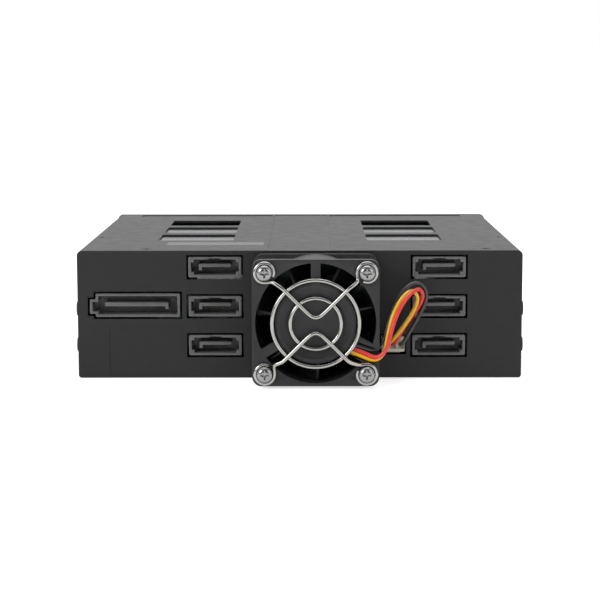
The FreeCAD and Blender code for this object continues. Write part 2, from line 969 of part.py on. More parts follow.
def fan_stator():
    """Motor core with four poles, pressed on the bearing tube."""
    centre = (fan_centre_x, fan_centre_z)
    start = fan_face + fan_disc_depth
    end = start + core_length
    reach = fan_hub - fan_hub_wall - core_gap
    shoes = rod("y", centre, reach, start, end).cut(
        rod("y", centre, reach - core_shoe, start - past, end + past)
    )
    pieces = [rod("y", centre, fan_tube + core_wall, start, end)]
    slots = []
    for i in range(4):
        arm = box(fan_tube, reach - core_shoe / 2, start, end, -core_arm / 2, core_arm / 2)
        pieces.append(turned_about_fan(arm, 90 * i))
        slot = box(0, reach + past, start - past, end + past, -core_slot / 2, core_slot / 2)
        slots.append(turned_about_fan(slot, 45 + 90 * i))
    core = join(pieces + [cut(shoes, slots)])
    return core.cut(rod("y", centre, fan_tube, start - past, end + past))


def blade_section(distance, base, spread, rear, front):
    """Curved strip across a blade, flat in the plane that lies this far from the fan's axis."""
    turn = math.radians(base)
    outwards = V(math.cos(turn), 0, math.sin(turn))
    sideways = V(-math.sin(turn), 0, math.cos(turn))
    origin = V(fan_centre_x, 0, fan_centre_z) + outwards * distance
    near = []
    far = []
    steps = 4
    for i in range(steps + 1):
        share = i / steps
        y = rear + (front - rear) * share
        shift = spread * (1 - 2 * share) + fan_blade_camber * math.sin(math.pi * share)
        near.append(origin + sideways * (shift - fan_blade_sheet / 2) + V(0, y, 0))
        far.append(origin + sideways * (shift + fan_blade_sheet / 2) + V(0, y, 0))
    outline = near + far[::-1]
    return Part.makePolygon(outline + [outline[0]])


def fan_rotor():
    """Hub cup with its shaft and the blades."""
    centre = (fan_centre_x, fan_centre_z)
    rim = fan_face + fan_disc_depth + fan_hub_gap
    crown = -fan_inner_gap
    floor = crown - fan_hub_wall
    cup = fan_hub - fan_hub_wall
    tip = fan_face + fan_bush_floor + fan_shaft_floor + fan_shaft_end
    hub = turned([
        (0, crown), (fan_hub - fan_hub_bevel, crown), (fan_hub, crown - fan_hub_bevel),
        (fan_hub, rim), (cup, rim), (cup, floor), (fan_shaft, floor), (fan_shaft, tip), (0, tip),
    ], fan_centre_x, fan_centre_z)
    reach = fan_bore - fan_blade_gap
    rear = rim + fan_blade_rear
    front = crown - fan_blade_front
    sweep = rod("y", centre, reach, rim, crown)
    hollow = rod("y", centre, cup, rim - past, floor)
    blades = []
    for i in range(fan_blades):
        base = 360.0 / fan_blades * i
        root = blade_section(cup - fan_blade_root, base, fan_blade_root_spread, rear, front)
        outer = blade_section(reach + past, base, fan_blade_tip_spread, rear, front)
        blade = Part.makeLoft([root, outer], True, True)
        blades.append(blade.common(sweep).cut(hollow))
    return join([hub] + blades)


def wire_face(centre, across, upright):
    """Flat-sided section of a guard wire, one flat of it square to the upright direction."""
    reach = guard_wire / 2 / math.cos(math.pi / guard_sides)
    points = []
    for k in range(guard_sides):
        turn = 2 * math.pi * (k + 0.5) / guard_sides
        points.append(
            centre + across * (reach * math.cos(turn)) + upright * (reach * math.sin(turn))
        )
    return Part.Face(Part.makePolygon(points + [points[0]]))


def guard_loop(centre, radius, start, sweep):
    """Wire bent round a centre, from one angle through a sweep, in degrees from +X to +Z."""
    turn = math.radians(start)
    across = V(math.cos(turn), 0, math.sin(turn))
    return wire_face(centre + across * radius, across, Y_AXIS).revolve(centre, -Y_AXIS, sweep)


def guard_bent_wire(apex, side):
    """Bent wire across the rings, from one eye over the apex to the other; side is 1 or -1."""
    low = fan_face - guard_wire / 2
    high = fan_face - guard_lift - 1.5 * guard_wire + guard_weld
    corner = fan_centre_z + apex - side * guard_bend * (math.sqrt(2) - 1)
    diagonal = math.cos(math.radians(45))
    foot = fan_hole_reach - guard_eye * diagonal
    ramp = guard_outer * diagonal + guard_ramp_out
    line = [
        V(fan_centre_x - foot, low, fan_centre_z + side * foot),
        V(fan_centre_x - ramp, high, corner + side * ramp),
        V(fan_centre_x, high, corner),
        V(fan_centre_x + ramp, high, corner + side * ramp),
        V(fan_centre_x + foot, low, fan_centre_z + side * foot),
    ]
    ahead = line[1] - line[0]
    ahead.normalize()
    across = ahead.cross(Y_AXIS)
    across.normalize()
    section = wire_face(line[0], across, across.cross(ahead))
    pieces = [swept(section, line, [0, guard_ramp_bend, guard_bend, guard_ramp_bend, 0])]
    for sx in (-1, 1):
        centre = V(fan_centre_x + sx * fan_hole_reach, low, fan_centre_z + side * fan_hole_reach)
        inwards = math.degrees(math.atan2(-side, -sx))
        start = inwards + guard_eye_start + guard_eye_open
        pieces.append(guard_loop(centre, guard_eye, start, 360 - guard_eye_open))
    return pieces


def fan_guard():
    """Chromed wire guard: two rings under two bent wires that end in eyes."""
    centre = V(fan_centre_x, fan_face - guard_lift - guard_wire / 2, fan_centre_z)
    pieces = [guard_loop(centre, radius, 0, 360) for radius in (guard_outer, guard_inner)]
    pieces += guard_bent_wire(guard_top_apex, 1)
    pieces += guard_bent_wire(guard_low_apex, -1)
    return join(pieces)


def fan_screws():
    """Four long screws through the guard's eyes and the frame into the rear panel."""
    screws = []
    for x, z in fan_corners:
        shank = rod("y", (x, z), fan_screw, head_seat, rear_sheet)
        top = head_seat - fan_screw_head_height
        head = turned([
            (0, head_seat), (fan_screw_head, head_seat), (fan_screw_head, top + fan_screw_rim),
            (fan_screw_crown, top), (0, top),
        ], x, z)
        slots = cross_recess(V(x, top, z), Y_AXIS, cross_width, cross_reach, cross_depth)
        screws.append(cut(join([shank, head]), slots))
    return group(screws)


# Fan lead with its header and plug

def pin_places():
    """Middle of each of the three pins across the header."""
    return [header_x + k * pin_pitch for k in (-1, 0, 1)]


def fan_header():
    """White three-pin header on the board: a base, the wall that keys the plug, and the pins."""
    left = header_x - header_width / 2
    right = left + header_width
    base_start = port_length - header_base
    base = box(left, right, base_start, port_length, header_low, header_low + header_height)
    wall = box(
        left + header_wall_side, right - header_wall_side, 0, base_start, header_low, plug_low
    )
    half = pin_side / 2
    tip = base_start - pin_length
    pins = [
        box(x - half, x + half, tip, port_length, plug_middle_z - half, plug_middle_z + half)
        for x in pin_places()
    ]
    return join([base, wall] + pins)


def fan_plug():
    """Plug of the fan's lead on the header's pins, with two ribs on its upper side."""
    left = header_x - plug_width / 2
    high = header_low + header_height
    body = box(left, left + plug_width, plug_rear, plug_front, plug_low, high)
    ribs = []
    for side in (-1, 1):
        near = header_x + side * plug_rib_x - plug_rib_width / 2
        ribs.append(box(
            near, near + plug_rib_width, plug_rear, plug_front - plug_rib_short,
            plug_middle_z, high + plug_rib_height
        ))
    half = pin_hole / 2
    start = plug_front - pin_length - plug_play - pin_room
    holes = [
        box(x - half, x + half, start, plug_front + past, plug_middle_z - half, plug_middle_z + half)
        for x in pin_places()
    ]
    return cut(join([body] + ribs), holes)


def fan_wire(name):
    """One wire as a round bar of straight runs and arcs; prints its bends and its volume."""
    points = wire_routes[name]
    radii = [0.0]
    for i in range(1, len(points) - 1):
        back = points[i - 1] - points[i]
        ahead = points[i + 1] - points[i]
        shorter = min(back.Length, ahead.Length)
        turn = math.pi - back.getAngle(ahead)
        radii.append(0.45 * shorter / math.tan(turn / 2))
    radii.append(0.0)
    circle = Part.Circle(points[0], points[1] - points[0], wire_diameter / 2)
    solid = swept(Part.Face(Part.Wire([circle.toShape()])), points, radii)
    section = math.pi * (wire_diameter / 2) ** 2
    print(name, "radii", [round(r, 1) for r in radii[1:-1]],
          "volume over section", round(solid.Volume / section, 1))
    return solid


# Trays

def tray_sled(column, row):
    """Inverted channel that a drive hangs in, with screw holes and a front opening."""
    x = bay_x(column)
    half = sled_width / 2
    high = sled_top(row)
    low = high - sled_height
    sled = channel(half, low, high, sled_sheet, sled_bend, sled_rear, sled_front)
    sled.translate(V(x, 0, 0))
    first = window_first + 2 * window_pitch - sled_open_rim
    length = window_length + 2 * sled_open_rim
    below = high - sled_sheet - past
    tools = [prism(
        rect(x - sled_open_width / 2, x + sled_open_width / 2, first, first + length),
        sled_open_corner, "z", below, high + past
    )]
    for i in (0, 1):
        y = sled_rear + drive_hole_rear + i * drive_holes_y
        for side in (-1, 1):
            spot = (x + side * drive_holes_x / 2, y)
            tools.append(rod("z", spot, sled_hole, below, high + past))
    lead = [(sled_rear, low), (sled_rear + sled_lead, low), (sled_rear, low + sled_lead)]
    for side in (-1, 1):
        near, far = mirrored_span(side, half - 2 * sled_sheet, half + past)
        tools.append(prism(lead, 0, "x", x + near, x + far))
    return cut(sled, tools)


def repeats(first, last, pitch):
    """Places from first to last at a pitch."""
    return [first + i * pitch for i in range(int((last - first) / pitch) + 1)]


def tray_face(column, row):
    """Moulded front of a tray with the lever's recess, the button's bore and a hollow back."""
    x = bay_x(column)
    half = sled_width / 2
    high = sled_top(row)
    low = high - sled_height
    middle = (high + low) / 2
    left = x - half
    right = x + half
    pivot_x = left + pivot_in
    pivot_y = cage_depth - pivot_back
    recess = recess_height / 2
    wall_back = cage_depth - recess_back
    ahead = cage_depth + past
    end = x + lever_end + lever_end_gap
    nose = lever_nose_height / 2 + lever_play
    pin_reach = recess + lever_pin_length + lever_play
    bore_left = x + button_left - button_play
    bore_right = bore_left + button_width + 2 * button_play
    flange = recess + button_flange
    front = prism(rect(left, right, low, high), face_corner, "y", sled_front, cage_depth)
    rear = prism(
        rect(left + sled_sheet, right - sled_sheet, low, high - sled_sheet),
        [0, 0, sled_bend, sled_bend], "y", face_back, sled_front
    )
    body = join([front, rear])
    tools = [
        box(left + face_pocket_side, right - face_pocket_side, face_back - past,
            face_back + face_pocket, low + face_pocket_rim, high - sled_sheet - face_pocket_rim),
        box(left + face_wall, end, wall_back, ahead, middle - recess, middle + recess),
        box(left - past, left + face_wall + past, pivot_y - lever_nose_slot,
            pivot_y + lever_nose_slot, middle - nose, middle + nose),
        rod("z", (pivot_x, pivot_y), lever_pin + pin_play, middle - pin_reach, middle + pin_reach),
        box(bore_left, bore_right, face_back, ahead, middle - recess, middle + recess),
        box(bore_left - button_flange, bore_right + button_flange, face_back - past, wall_back,
            middle - flange, middle + flange),
        rod("y", (x + lamp_x, middle), lamp_hole, face_back, ahead),
    ]
    for vent in repeats(left + face_vent_first, end - face_vent_pitch, face_vent_pitch):
        tools.append(box(
            vent, vent + face_vent_width, face_back, wall_back + past,
            middle - face_vent_height / 2, middle + face_vent_height / 2
        ))
    return cut(body, tools)


def tray_lever(column, row):
    """Pull lever with its upright pins, heel nose, air slots and rounded grip."""
    x = bay_x(column)
    middle = sled_top(row) - sled_height / 2
    half = recess_height / 2 - lever_play
    pivot_x = x - sled_width / 2 + pivot_in
    pivot_y = cage_depth - pivot_back
    pivot = (pivot_x, pivot_y)
    back = cage_depth - lever_sheet
    end = x + lever_end
    outline = [
        (pivot_x, pivot_y + lever_boss), (pivot_x, pivot_y - lever_boss),
        (pivot_x + lever_neck, back), (end, back), (end, cage_depth),
        (pivot_x + lever_shoulder, cage_depth),
    ]
    bends = [0, 0, lever_neck_bend, lever_grip_bend / 2, lever_grip_bend, lever_shoulder_bend]
    bar = prism(outline, bends, "z", middle - half, middle + half)
    boss = rod("z", pivot, lever_boss, middle - half, middle + half)
    pins = rod(
        "z", pivot, lever_pin, middle - half - lever_pin_length, middle + half + lever_pin_length
    )
    nose = prism(
        [
            (pivot_x, pivot_y - lever_nose_root / 2), (pivot_x, pivot_y + lever_nose_root / 2),
            (pivot_x - lever_nose, pivot_y + lever_nose_tip / 2),
            (pivot_x - lever_nose, pivot_y - lever_nose_tip / 2),
        ],
        [0, 0, lever_nose_tip / 4, lever_nose_tip / 4], "z",
        middle - lever_nose_height / 2, middle + lever_nose_height / 2
    )
    slots = []
    for left in repeats(pivot_x + lever_slot_first, end - 2 * lever_slot_pitch, lever_slot_pitch):
        slots.append(prism(
            rect(left, left + lever_slot_width,
                 middle - lever_slot_height / 2, middle + lever_slot_height / 2),
            lever_slot_corner, "y", back - past, cage_depth + past
        ))
    return cut(join([bar, boss, pins, nose]), slots)


def tray_button(column, row):
    """Release button with a flange behind the front wall and three grip grooves."""
    x = bay_x(column)
    middle = sled_top(row) - sled_height / 2
    half = recess_height / 2 - button_play
    left = x + button_left
    right = left + button_width
    back = cage_depth - button_depth
    wall_back = cage_depth - recess_back
    flange = half + button_flange
    stem = prism(
        rect(left, right, middle - half, middle + half), button_corner, "y", back, cage_depth
    )
    collar = box(
        left - button_flange, right + button_flange, back, wall_back - button_seat,
        middle - flange, middle + flange
    )
    grooves = []
    for k in (-1, 0, 1):
        low = middle + k * button_groove_pitch - button_groove / 2
        grooves.append(box(
            left + button_groove_side, right - button_groove_side,
            cage_depth - button_groove_depth, cage_depth + past, low, low + button_groove
        ))
    return cut(join([stem, collar]), grooves)


# Writing the nodes

nodes = {
    "base_shell": base_shell(),
    "top_cover": top_cover(),
    "rear_panel": rear_panel(),
    "front_bezel": front_bezel(),
    "centre_divider": centre_divider(),
    "shelf_left_lower": shelf(-1, 1),
    "shelf_left_upper": shelf(-1, 2),
    "shelf_right_lower": shelf(1, 1),
    "shelf_right_upper": shelf(1, 2),
    "backplane_board": backplane_board(),
    "board_screws": board_screws(),
    "cover_screws": cover_screws(),
    "power_port": power_port(),
    "fan_frame": fan_frame(),
    "fan_bearing": fan_bearing(),
    "fan_stator": fan_stator(),
    "fan_rotor": fan_rotor(),
    "fan_guard": fan_guard(),
    "fan_screws": fan_screws(),
    "fan_header": fan_header(),
    "fan_plug": fan_plug(),
}
for wire_name in wire_routes:
    nodes[wire_name] = fan_wire(wire_name)
for number, column, row in bays():
    nodes["drive_socket_%d" % number] = drive_socket(column, row)
    nodes["data_port_%d" % number] = data_port(column, row)
    nodes["tray_sled_%d" % number] = tray_sled(column, row)
    nodes["tray_face_%d" % number] = tray_face(column, row)
    nodes["tray_lever_%d" % number] = tray_lever(column, row)
    nodes["tray_button_%d" % number] = tray_button(column, row)

for name, shape in nodes.items():
    save(name, shape)
print(len(nodes), "nodes, cage", round(cage_width, 2), round(cage_depth, 2), round(cage_height, 2))
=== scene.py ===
"""Hot swap drive cage with six trays, seen from its rear face."""

import json
import logging
import math
from dataclasses import dataclass, field
from enum import Enum
from typing import Callable, Iterator, Optional, Sequence

import bmesh
import bpy
from mathutils import Matrix, Vector

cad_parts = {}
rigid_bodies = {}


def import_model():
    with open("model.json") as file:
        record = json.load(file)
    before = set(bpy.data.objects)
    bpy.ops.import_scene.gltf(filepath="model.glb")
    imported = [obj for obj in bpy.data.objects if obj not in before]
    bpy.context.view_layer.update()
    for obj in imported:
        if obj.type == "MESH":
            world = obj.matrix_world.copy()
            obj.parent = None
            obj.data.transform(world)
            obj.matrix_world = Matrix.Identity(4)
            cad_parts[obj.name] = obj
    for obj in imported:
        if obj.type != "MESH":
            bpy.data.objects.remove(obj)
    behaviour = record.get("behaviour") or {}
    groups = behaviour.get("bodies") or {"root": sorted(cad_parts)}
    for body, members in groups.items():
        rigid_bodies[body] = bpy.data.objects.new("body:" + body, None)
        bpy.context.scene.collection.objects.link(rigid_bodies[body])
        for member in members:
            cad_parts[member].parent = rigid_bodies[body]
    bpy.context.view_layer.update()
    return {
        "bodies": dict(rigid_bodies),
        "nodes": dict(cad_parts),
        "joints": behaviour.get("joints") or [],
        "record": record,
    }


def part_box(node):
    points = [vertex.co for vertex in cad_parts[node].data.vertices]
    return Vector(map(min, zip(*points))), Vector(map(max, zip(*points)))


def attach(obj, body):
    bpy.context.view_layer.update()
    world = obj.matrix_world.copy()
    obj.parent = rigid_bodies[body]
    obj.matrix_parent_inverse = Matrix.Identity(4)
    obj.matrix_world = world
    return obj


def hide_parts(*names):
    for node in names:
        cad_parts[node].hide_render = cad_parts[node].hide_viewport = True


log = logging.getLogger("drive_cage")

MM = 0.001  # metres
REAR = -57.5  # Y of the rear face in millimetres
BAY_CENTRE = 35.825  # X of the middle of the right column
MERGED = 0.002  # corners nearer than this become one
Point = tuple[float, float, float]
Pair = tuple[float, float]
Colour = tuple[float, float, float]
Piece = bpy.types.Object
Socket = bpy.types.NodeSocket


def linear(*channels: float) -> Colour:
    """Turn an sRGB colour of 0 to 255 a channel into linear light."""
    shares = [channel / 255.0 for channel in channels]
    return tuple(s / 12.92 if s <= 0.04045 else ((s + 0.055) / 1.055) ** 2.4 for s in shares)


class Grain(Enum):
    """Kinds of surface that the cage's finishes have."""

    POWDER = "powder coat"
    MOULDED = "moulded plastic"
    ROLLED = "rolled sheet"
    PLATED = "bright plating"
    LACQUER = "board lacquer"
    SLEEVE = "wire sleeve"
    PAPER = "paper strip"


@dataclass(frozen=True)
class Finish:
    """One finish: its colour, how it shines and the grain of its surface.

    Attributes:
        name: Name of the material.
        slot: Slot of the record that the finish belongs to.
        tone: Colour in linear light.
        grain: Kind of surface.
        roughness: Middle roughness.
        metallic: 1 for bare metal, 0 for the rest.
        specular: Specular level of the shader.
        mottle: Share by which the colour wanders over the surface.
        spread: Amount by which the roughness wanders.
        grain_size: Size of the finest grain in metres.
        relief: Height of the grain in metres.
        wear: How much paler the edges are.
        coat: Weight of the clear coat.
        translucent: Weight of light that scatters inside.
    """

    name: str
    slot: str
    tone: Colour
    grain: Grain
    roughness: float = 0.5
    metallic: float = 0.0
    specular: float = 0.5
    mottle: float = 0.12
    spread: float = 0.08
    grain_size: float = 0.0004
    relief: float = 0.00003
    wear: float = 0.0
    coat: float = 0.0
    translucent: float = 0.0

    def material(self) -> bpy.types.Material:
        """Return the finish's material, built at its first use."""
        found = bpy.data.materials.get(self.name)
        if found is not None:
            return found
        material = bpy.data.materials.new(self.name)
        material.use_nodes = True
        MaterialBench(material, self).build()
        return material


class NodeBench:
    """Adds nodes to one tree and joins them."""

    def __init__(self, tree: bpy.types.NodeTree) -> None:
        """Keep the tree and clear its nodes."""
        self.tree = tree
        self.tree.nodes.clear()

    def node(self, kind: str, **settings: object) -> bpy.types.Node:
        """Add a node and give its settings and its plain inputs.

        Args:
            kind: Blender's name of the node.
            **settings: Attributes, or inputs written with a leading in_.

        Returns:
            The new node.
        """
        made = self.tree.nodes.new(kind)
        for key, value in settings.items():
            if key.startswith("in_"):
                made.inputs[key[3:].replace("_", " ")].default_value = value
            else:
                setattr(made, key, value)
        return made

    def link(self, source: Socket, target: Socket) -> None:
        """Join two sockets."""
        self.tree.links.new(source, target)

    def maths(self, operation: str, *values: object) -> Socket:
        """Add a step of arithmetic; each value is a number or a socket."""
        made = self.node("ShaderNodeMath", operation=operation)
        for place, value in zip(made.inputs, values):
            if isinstance(value, Socket):
                self.link(value, place)
            else:
                place.default_value = value
        return made.outputs["Value"]


class MaterialBench(NodeBench):
    """Builds the nodes of one finish."""

    noise_middle: Pair = (0.3, 0.7)
    edge_cosines: Pair = (0.99, 0.78)
    edge_reach: float = 0.00035
    scuff_size: float = 0.0016
    wear_gain: float = 6.0
    coat_roughness: float = 0.15
    scatter_depth: float = 0.0012
    crystals: float = 260.0

    def __init__(self, material: bpy.types.Material, finish: Finish) -> None:
        """Keep the finish and start the material with its shader."""
        super().__init__(material.node_tree)
        self.finish = finish
        self.shader = self.node("ShaderNodeBsdfPrincipled")
        output = self.node("ShaderNodeOutputMaterial")
        self.link(self.shader.outputs["BSDF"], output.inputs["Surface"])
        self.place = self.node("ShaderNodeTexCoord").outputs["Object"]

    def stretched(self, scale: Point, turn: float = 0.0) -> Socket:
        """Return the place on the piece, turned about X and stretched along the axes."""
        mapping = self.node("ShaderNodeMapping", in_Rotation=(turn, 0.0, 0.0), in_Scale=scale)
        self.link(self.place, mapping.inputs["Vector"])
        return mapping.outputs["Vector"]

    def noise(self, size: float, detail: float = 3.0, scale: Point = (1.0, 1.0, 1.0)) -> Socket:
        """Add noise of that grain size in metres.

        Args:
            size: Size of one grain.
            detail: Octaves of finer noise.
            scale: Stretch along the axes.

        Returns:
            The noise as a number from 0 to 1.
        """
        made = self.node("ShaderNodeTexNoise", in_Scale=1.0 / size, in_Detail=detail)
        self.link(self.stretched(scale), made.inputs["Vector"])
        return made.outputs["Fac"]

    def ranged(self, value: Socket, low: float = 0.0, high: float = 1.0) -> Socket:
        """Spread the middle of a noise over the numbers from low to high."""
        least, most = self.noise_middle
        made = self.node(
            "ShaderNodeMapRange", in_From_Min=least, in_From_Max=most, in_To_Min=low,
            in_To_Max=high,
        )
        self.link(value, made.inputs["Value"])
        return made.outputs["Result"]

    def blend(self, share: Socket, first: object, second: object) -> Socket:
        """Mix two colours; each is a colour or a socket."""
        made = self.node("ShaderNodeMix", data_type="RGBA", clamp_factor=True)
        self.link(share, made.inputs["Factor"])
        for name, value in (("A", first), ("B", second)):
            target = [s for s in made.inputs if s.name == name and s.type == "RGBA"][0]
            if isinstance(value, Socket):
                self.link(value, target)
            else:
                target.default_value = (*value, 1.0)
        return [s for s in made.outputs if s.type == "RGBA"][0]

    def shade(self, factor: float) -> Colour:
        """Return the finish's colour times a factor."""
        return tuple(min(1.0, channel * factor) for channel in self.finish.tone)

    def bumped(self, height: Socket, share: float = 1.0, under: Optional[Socket] = None) -> Socket:
        """Add a relief of a share of the finish's own, over another one if given."""
        distance = self.finish.relief * share
        made = self.node("ShaderNodeBump", in_Strength=1.0, in_Distance=distance)
        self.link(height, made.inputs["Height"])
        if under is not None:
            self.link(under, made.inputs["Normal"])
        return made.outputs["Normal"]

    def edge_share(self) -> Socket:
        """Return how near an edge a point is, from 0 on flats to 1 on edges."""
        rounded = self.node("ShaderNodeBevel", samples=4, in_Radius=self.edge_reach)
        flat = self.node("ShaderNodeNewGeometry")
        dot = self.node("ShaderNodeVectorMath", operation="DOT_PRODUCT")
        self.link(rounded.outputs["Normal"], dot.inputs[0])
        self.link(flat.outputs["Normal"], dot.inputs[1])
        on_flat, on_edge = self.edge_cosines
        spread = self.node("ShaderNodeMapRange", in_From_Min=on_flat, in_From_Max=on_edge)
        self.link(dot.outputs["Value"], spread.inputs["Value"])
        return spread.outputs["Result"]

    def build(self) -> None:
        """Make the colour, the gloss and the relief of the finish."""
        finish = self.finish
        shader = self.shader
        shader.inputs["Metallic"].default_value = finish.metallic
        shader.inputs["Specular IOR Level"].default_value = finish.specular
        if finish.coat > 0:
            shader.inputs["Coat Weight"].default_value = finish.coat
            shader.inputs["Coat Roughness"].default_value = self.coat_roughness
        if finish.translucent > 0:
            shader.inputs["Subsurface Weight"].default_value = finish.translucent
            shader.inputs["Subsurface Scale"].default_value = self.scatter_depth
        tone, gloss, normal = {
            Grain.POWDER: self.powder,
            Grain.MOULDED: self.moulded,
            Grain.ROLLED: self.rolled,
            Grain.PLATED: self.plated,
            Grain.LACQUER: self.lacquer,
            Grain.SLEEVE: self.sleeve,
            Grain.PAPER: self.paper,
        }[finish.grain]()
        if finish.wear > 0:
            scuffs = self.ranged(self.noise(self.scuff_size, detail=4.0))
            worn = self.maths("MULTIPLY", self.edge_share(), scuffs)
            tone = self.blend(worn, tone, self.shade(1.0 + self.wear_gain * finish.wear))
        self.link(tone, shader.inputs["Base Color"])
        self.link(gloss, shader.inputs["Roughness"])
        self.link(normal, shader.inputs["Normal"])

    def mottled(self, share: Socket) -> Socket:
        """Return the finish's colour between a little darker and a little paler."""
        mottle = self.finish.mottle
        return self.blend(share, self.shade(1.0 - mottle), self.shade(1.0 + mottle))

    def wandering(self, size: float) -> Socket:
        """Return the finish's colour, mottled in patches of that size."""
        return self.mottled(self.ranged(self.noise(size, detail=4.0)))

    def gloss(self, size: float, scale: Point = (1.0, 1.0, 1.0)) -> Socket:
        """Return a roughness that wanders about the finish's own."""
        low = max(0.02, self.finish.roughness - self.finish.spread)
        high = min(1.0, self.finish.roughness + self.finish.spread)
        return self.ranged(self.noise(size, scale=scale), low, high)

    def powder(self) -> tuple:
        """Baked powder coat: an orange peel with fine specks."""
        grain = self.finish.grain_size
        peel = self.bumped(self.noise(grain * 3, detail=2.0))
        fine = self.bumped(self.noise(grain, detail=2.0), share=0.5, under=peel)
        specks = self.ranged(self.noise(grain * 0.7, detail=1.0))
        pale = self.shade(1.0 + 1.6 * self.finish.mottle)
        return self.blend(specks, self.wandering(0.02), pale), self.gloss(0.004), fine

    def moulded(self) -> tuple:
        """Moulded plastic: spark-eroded grain with soft flow marks."""
        cells = self.node("ShaderNodeTexVoronoi", in_Scale=1.0 / self.finish.grain_size)
        self.link(self.place, cells.inputs["Vector"])
        return self.wandering(0.008), self.gloss(0.002), self.bumped(cells.outputs["Distance"])

    def rolled(self) -> tuple:
        """Rolled and plated sheet: streaks along Y and faint crystals."""
        streaks = self.noise(self.finish.grain_size, detail=2.0, scale=(1.0, 0.04, 1.0))
        crystals = self.node("ShaderNodeTexVoronoi", in_Scale=self.crystals)
        self.link(self.place, crystals.inputs["Vector"])
        grey = self.node("ShaderNodeRGBToBW")
        self.link(crystals.outputs["Color"], grey.inputs["Color"])
        gloss = self.gloss(self.finish.grain_size * 2, scale=(1.0, 0.05, 1.0))
        return self.mottled(grey.outputs["Val"]), gloss, self.bumped(streaks)

    def plated(self) -> tuple:
        """Bright plating: almost smooth, with a few dull patches and drawing marks."""
        marks = self.bumped(self.noise(self.finish.grain_size, detail=2.0))
        return self.wandering(0.003), self.gloss(0.0015), marks

    def lacquer(self) -> tuple:
        """Solder mask over copper tracks, which stand a little proud and pale."""
        tracks = self.node(
            "ShaderNodeTexBrick", offset=0.35, in_Scale=1.0, in_Mortar_Size=0.12,
            in_Brick_Width=9.0, in_Row_Height=1.1,
        )
        upright = self.stretched((1.0 / MM,) * 3, turn=math.pi / 2)
        self.link(upright, tracks.inputs["Vector"])
        line = tracks.outputs["Fac"]
        tone = self.blend(line, self.wandering(0.01), self.shade(1.7))
        return tone, self.gloss(0.003), self.bumped(line)

    def sleeve(self) -> tuple:
        """Drawn insulation: smooth, with faint scuffs."""
        scuffs = self.bumped(self.noise(self.finish.grain_size))
        return self.wandering(0.004), self.gloss(0.001), scuffs

    def paper(self) -> tuple:
        """Bare paper strip with its fibres."""
        fibres = self.noise(self.finish.grain_size, detail=4.0, scale=(0.3, 1.0, 1.0))
        return self.wandering(0.002), self.gloss(0.002), self.bumped(fibres)


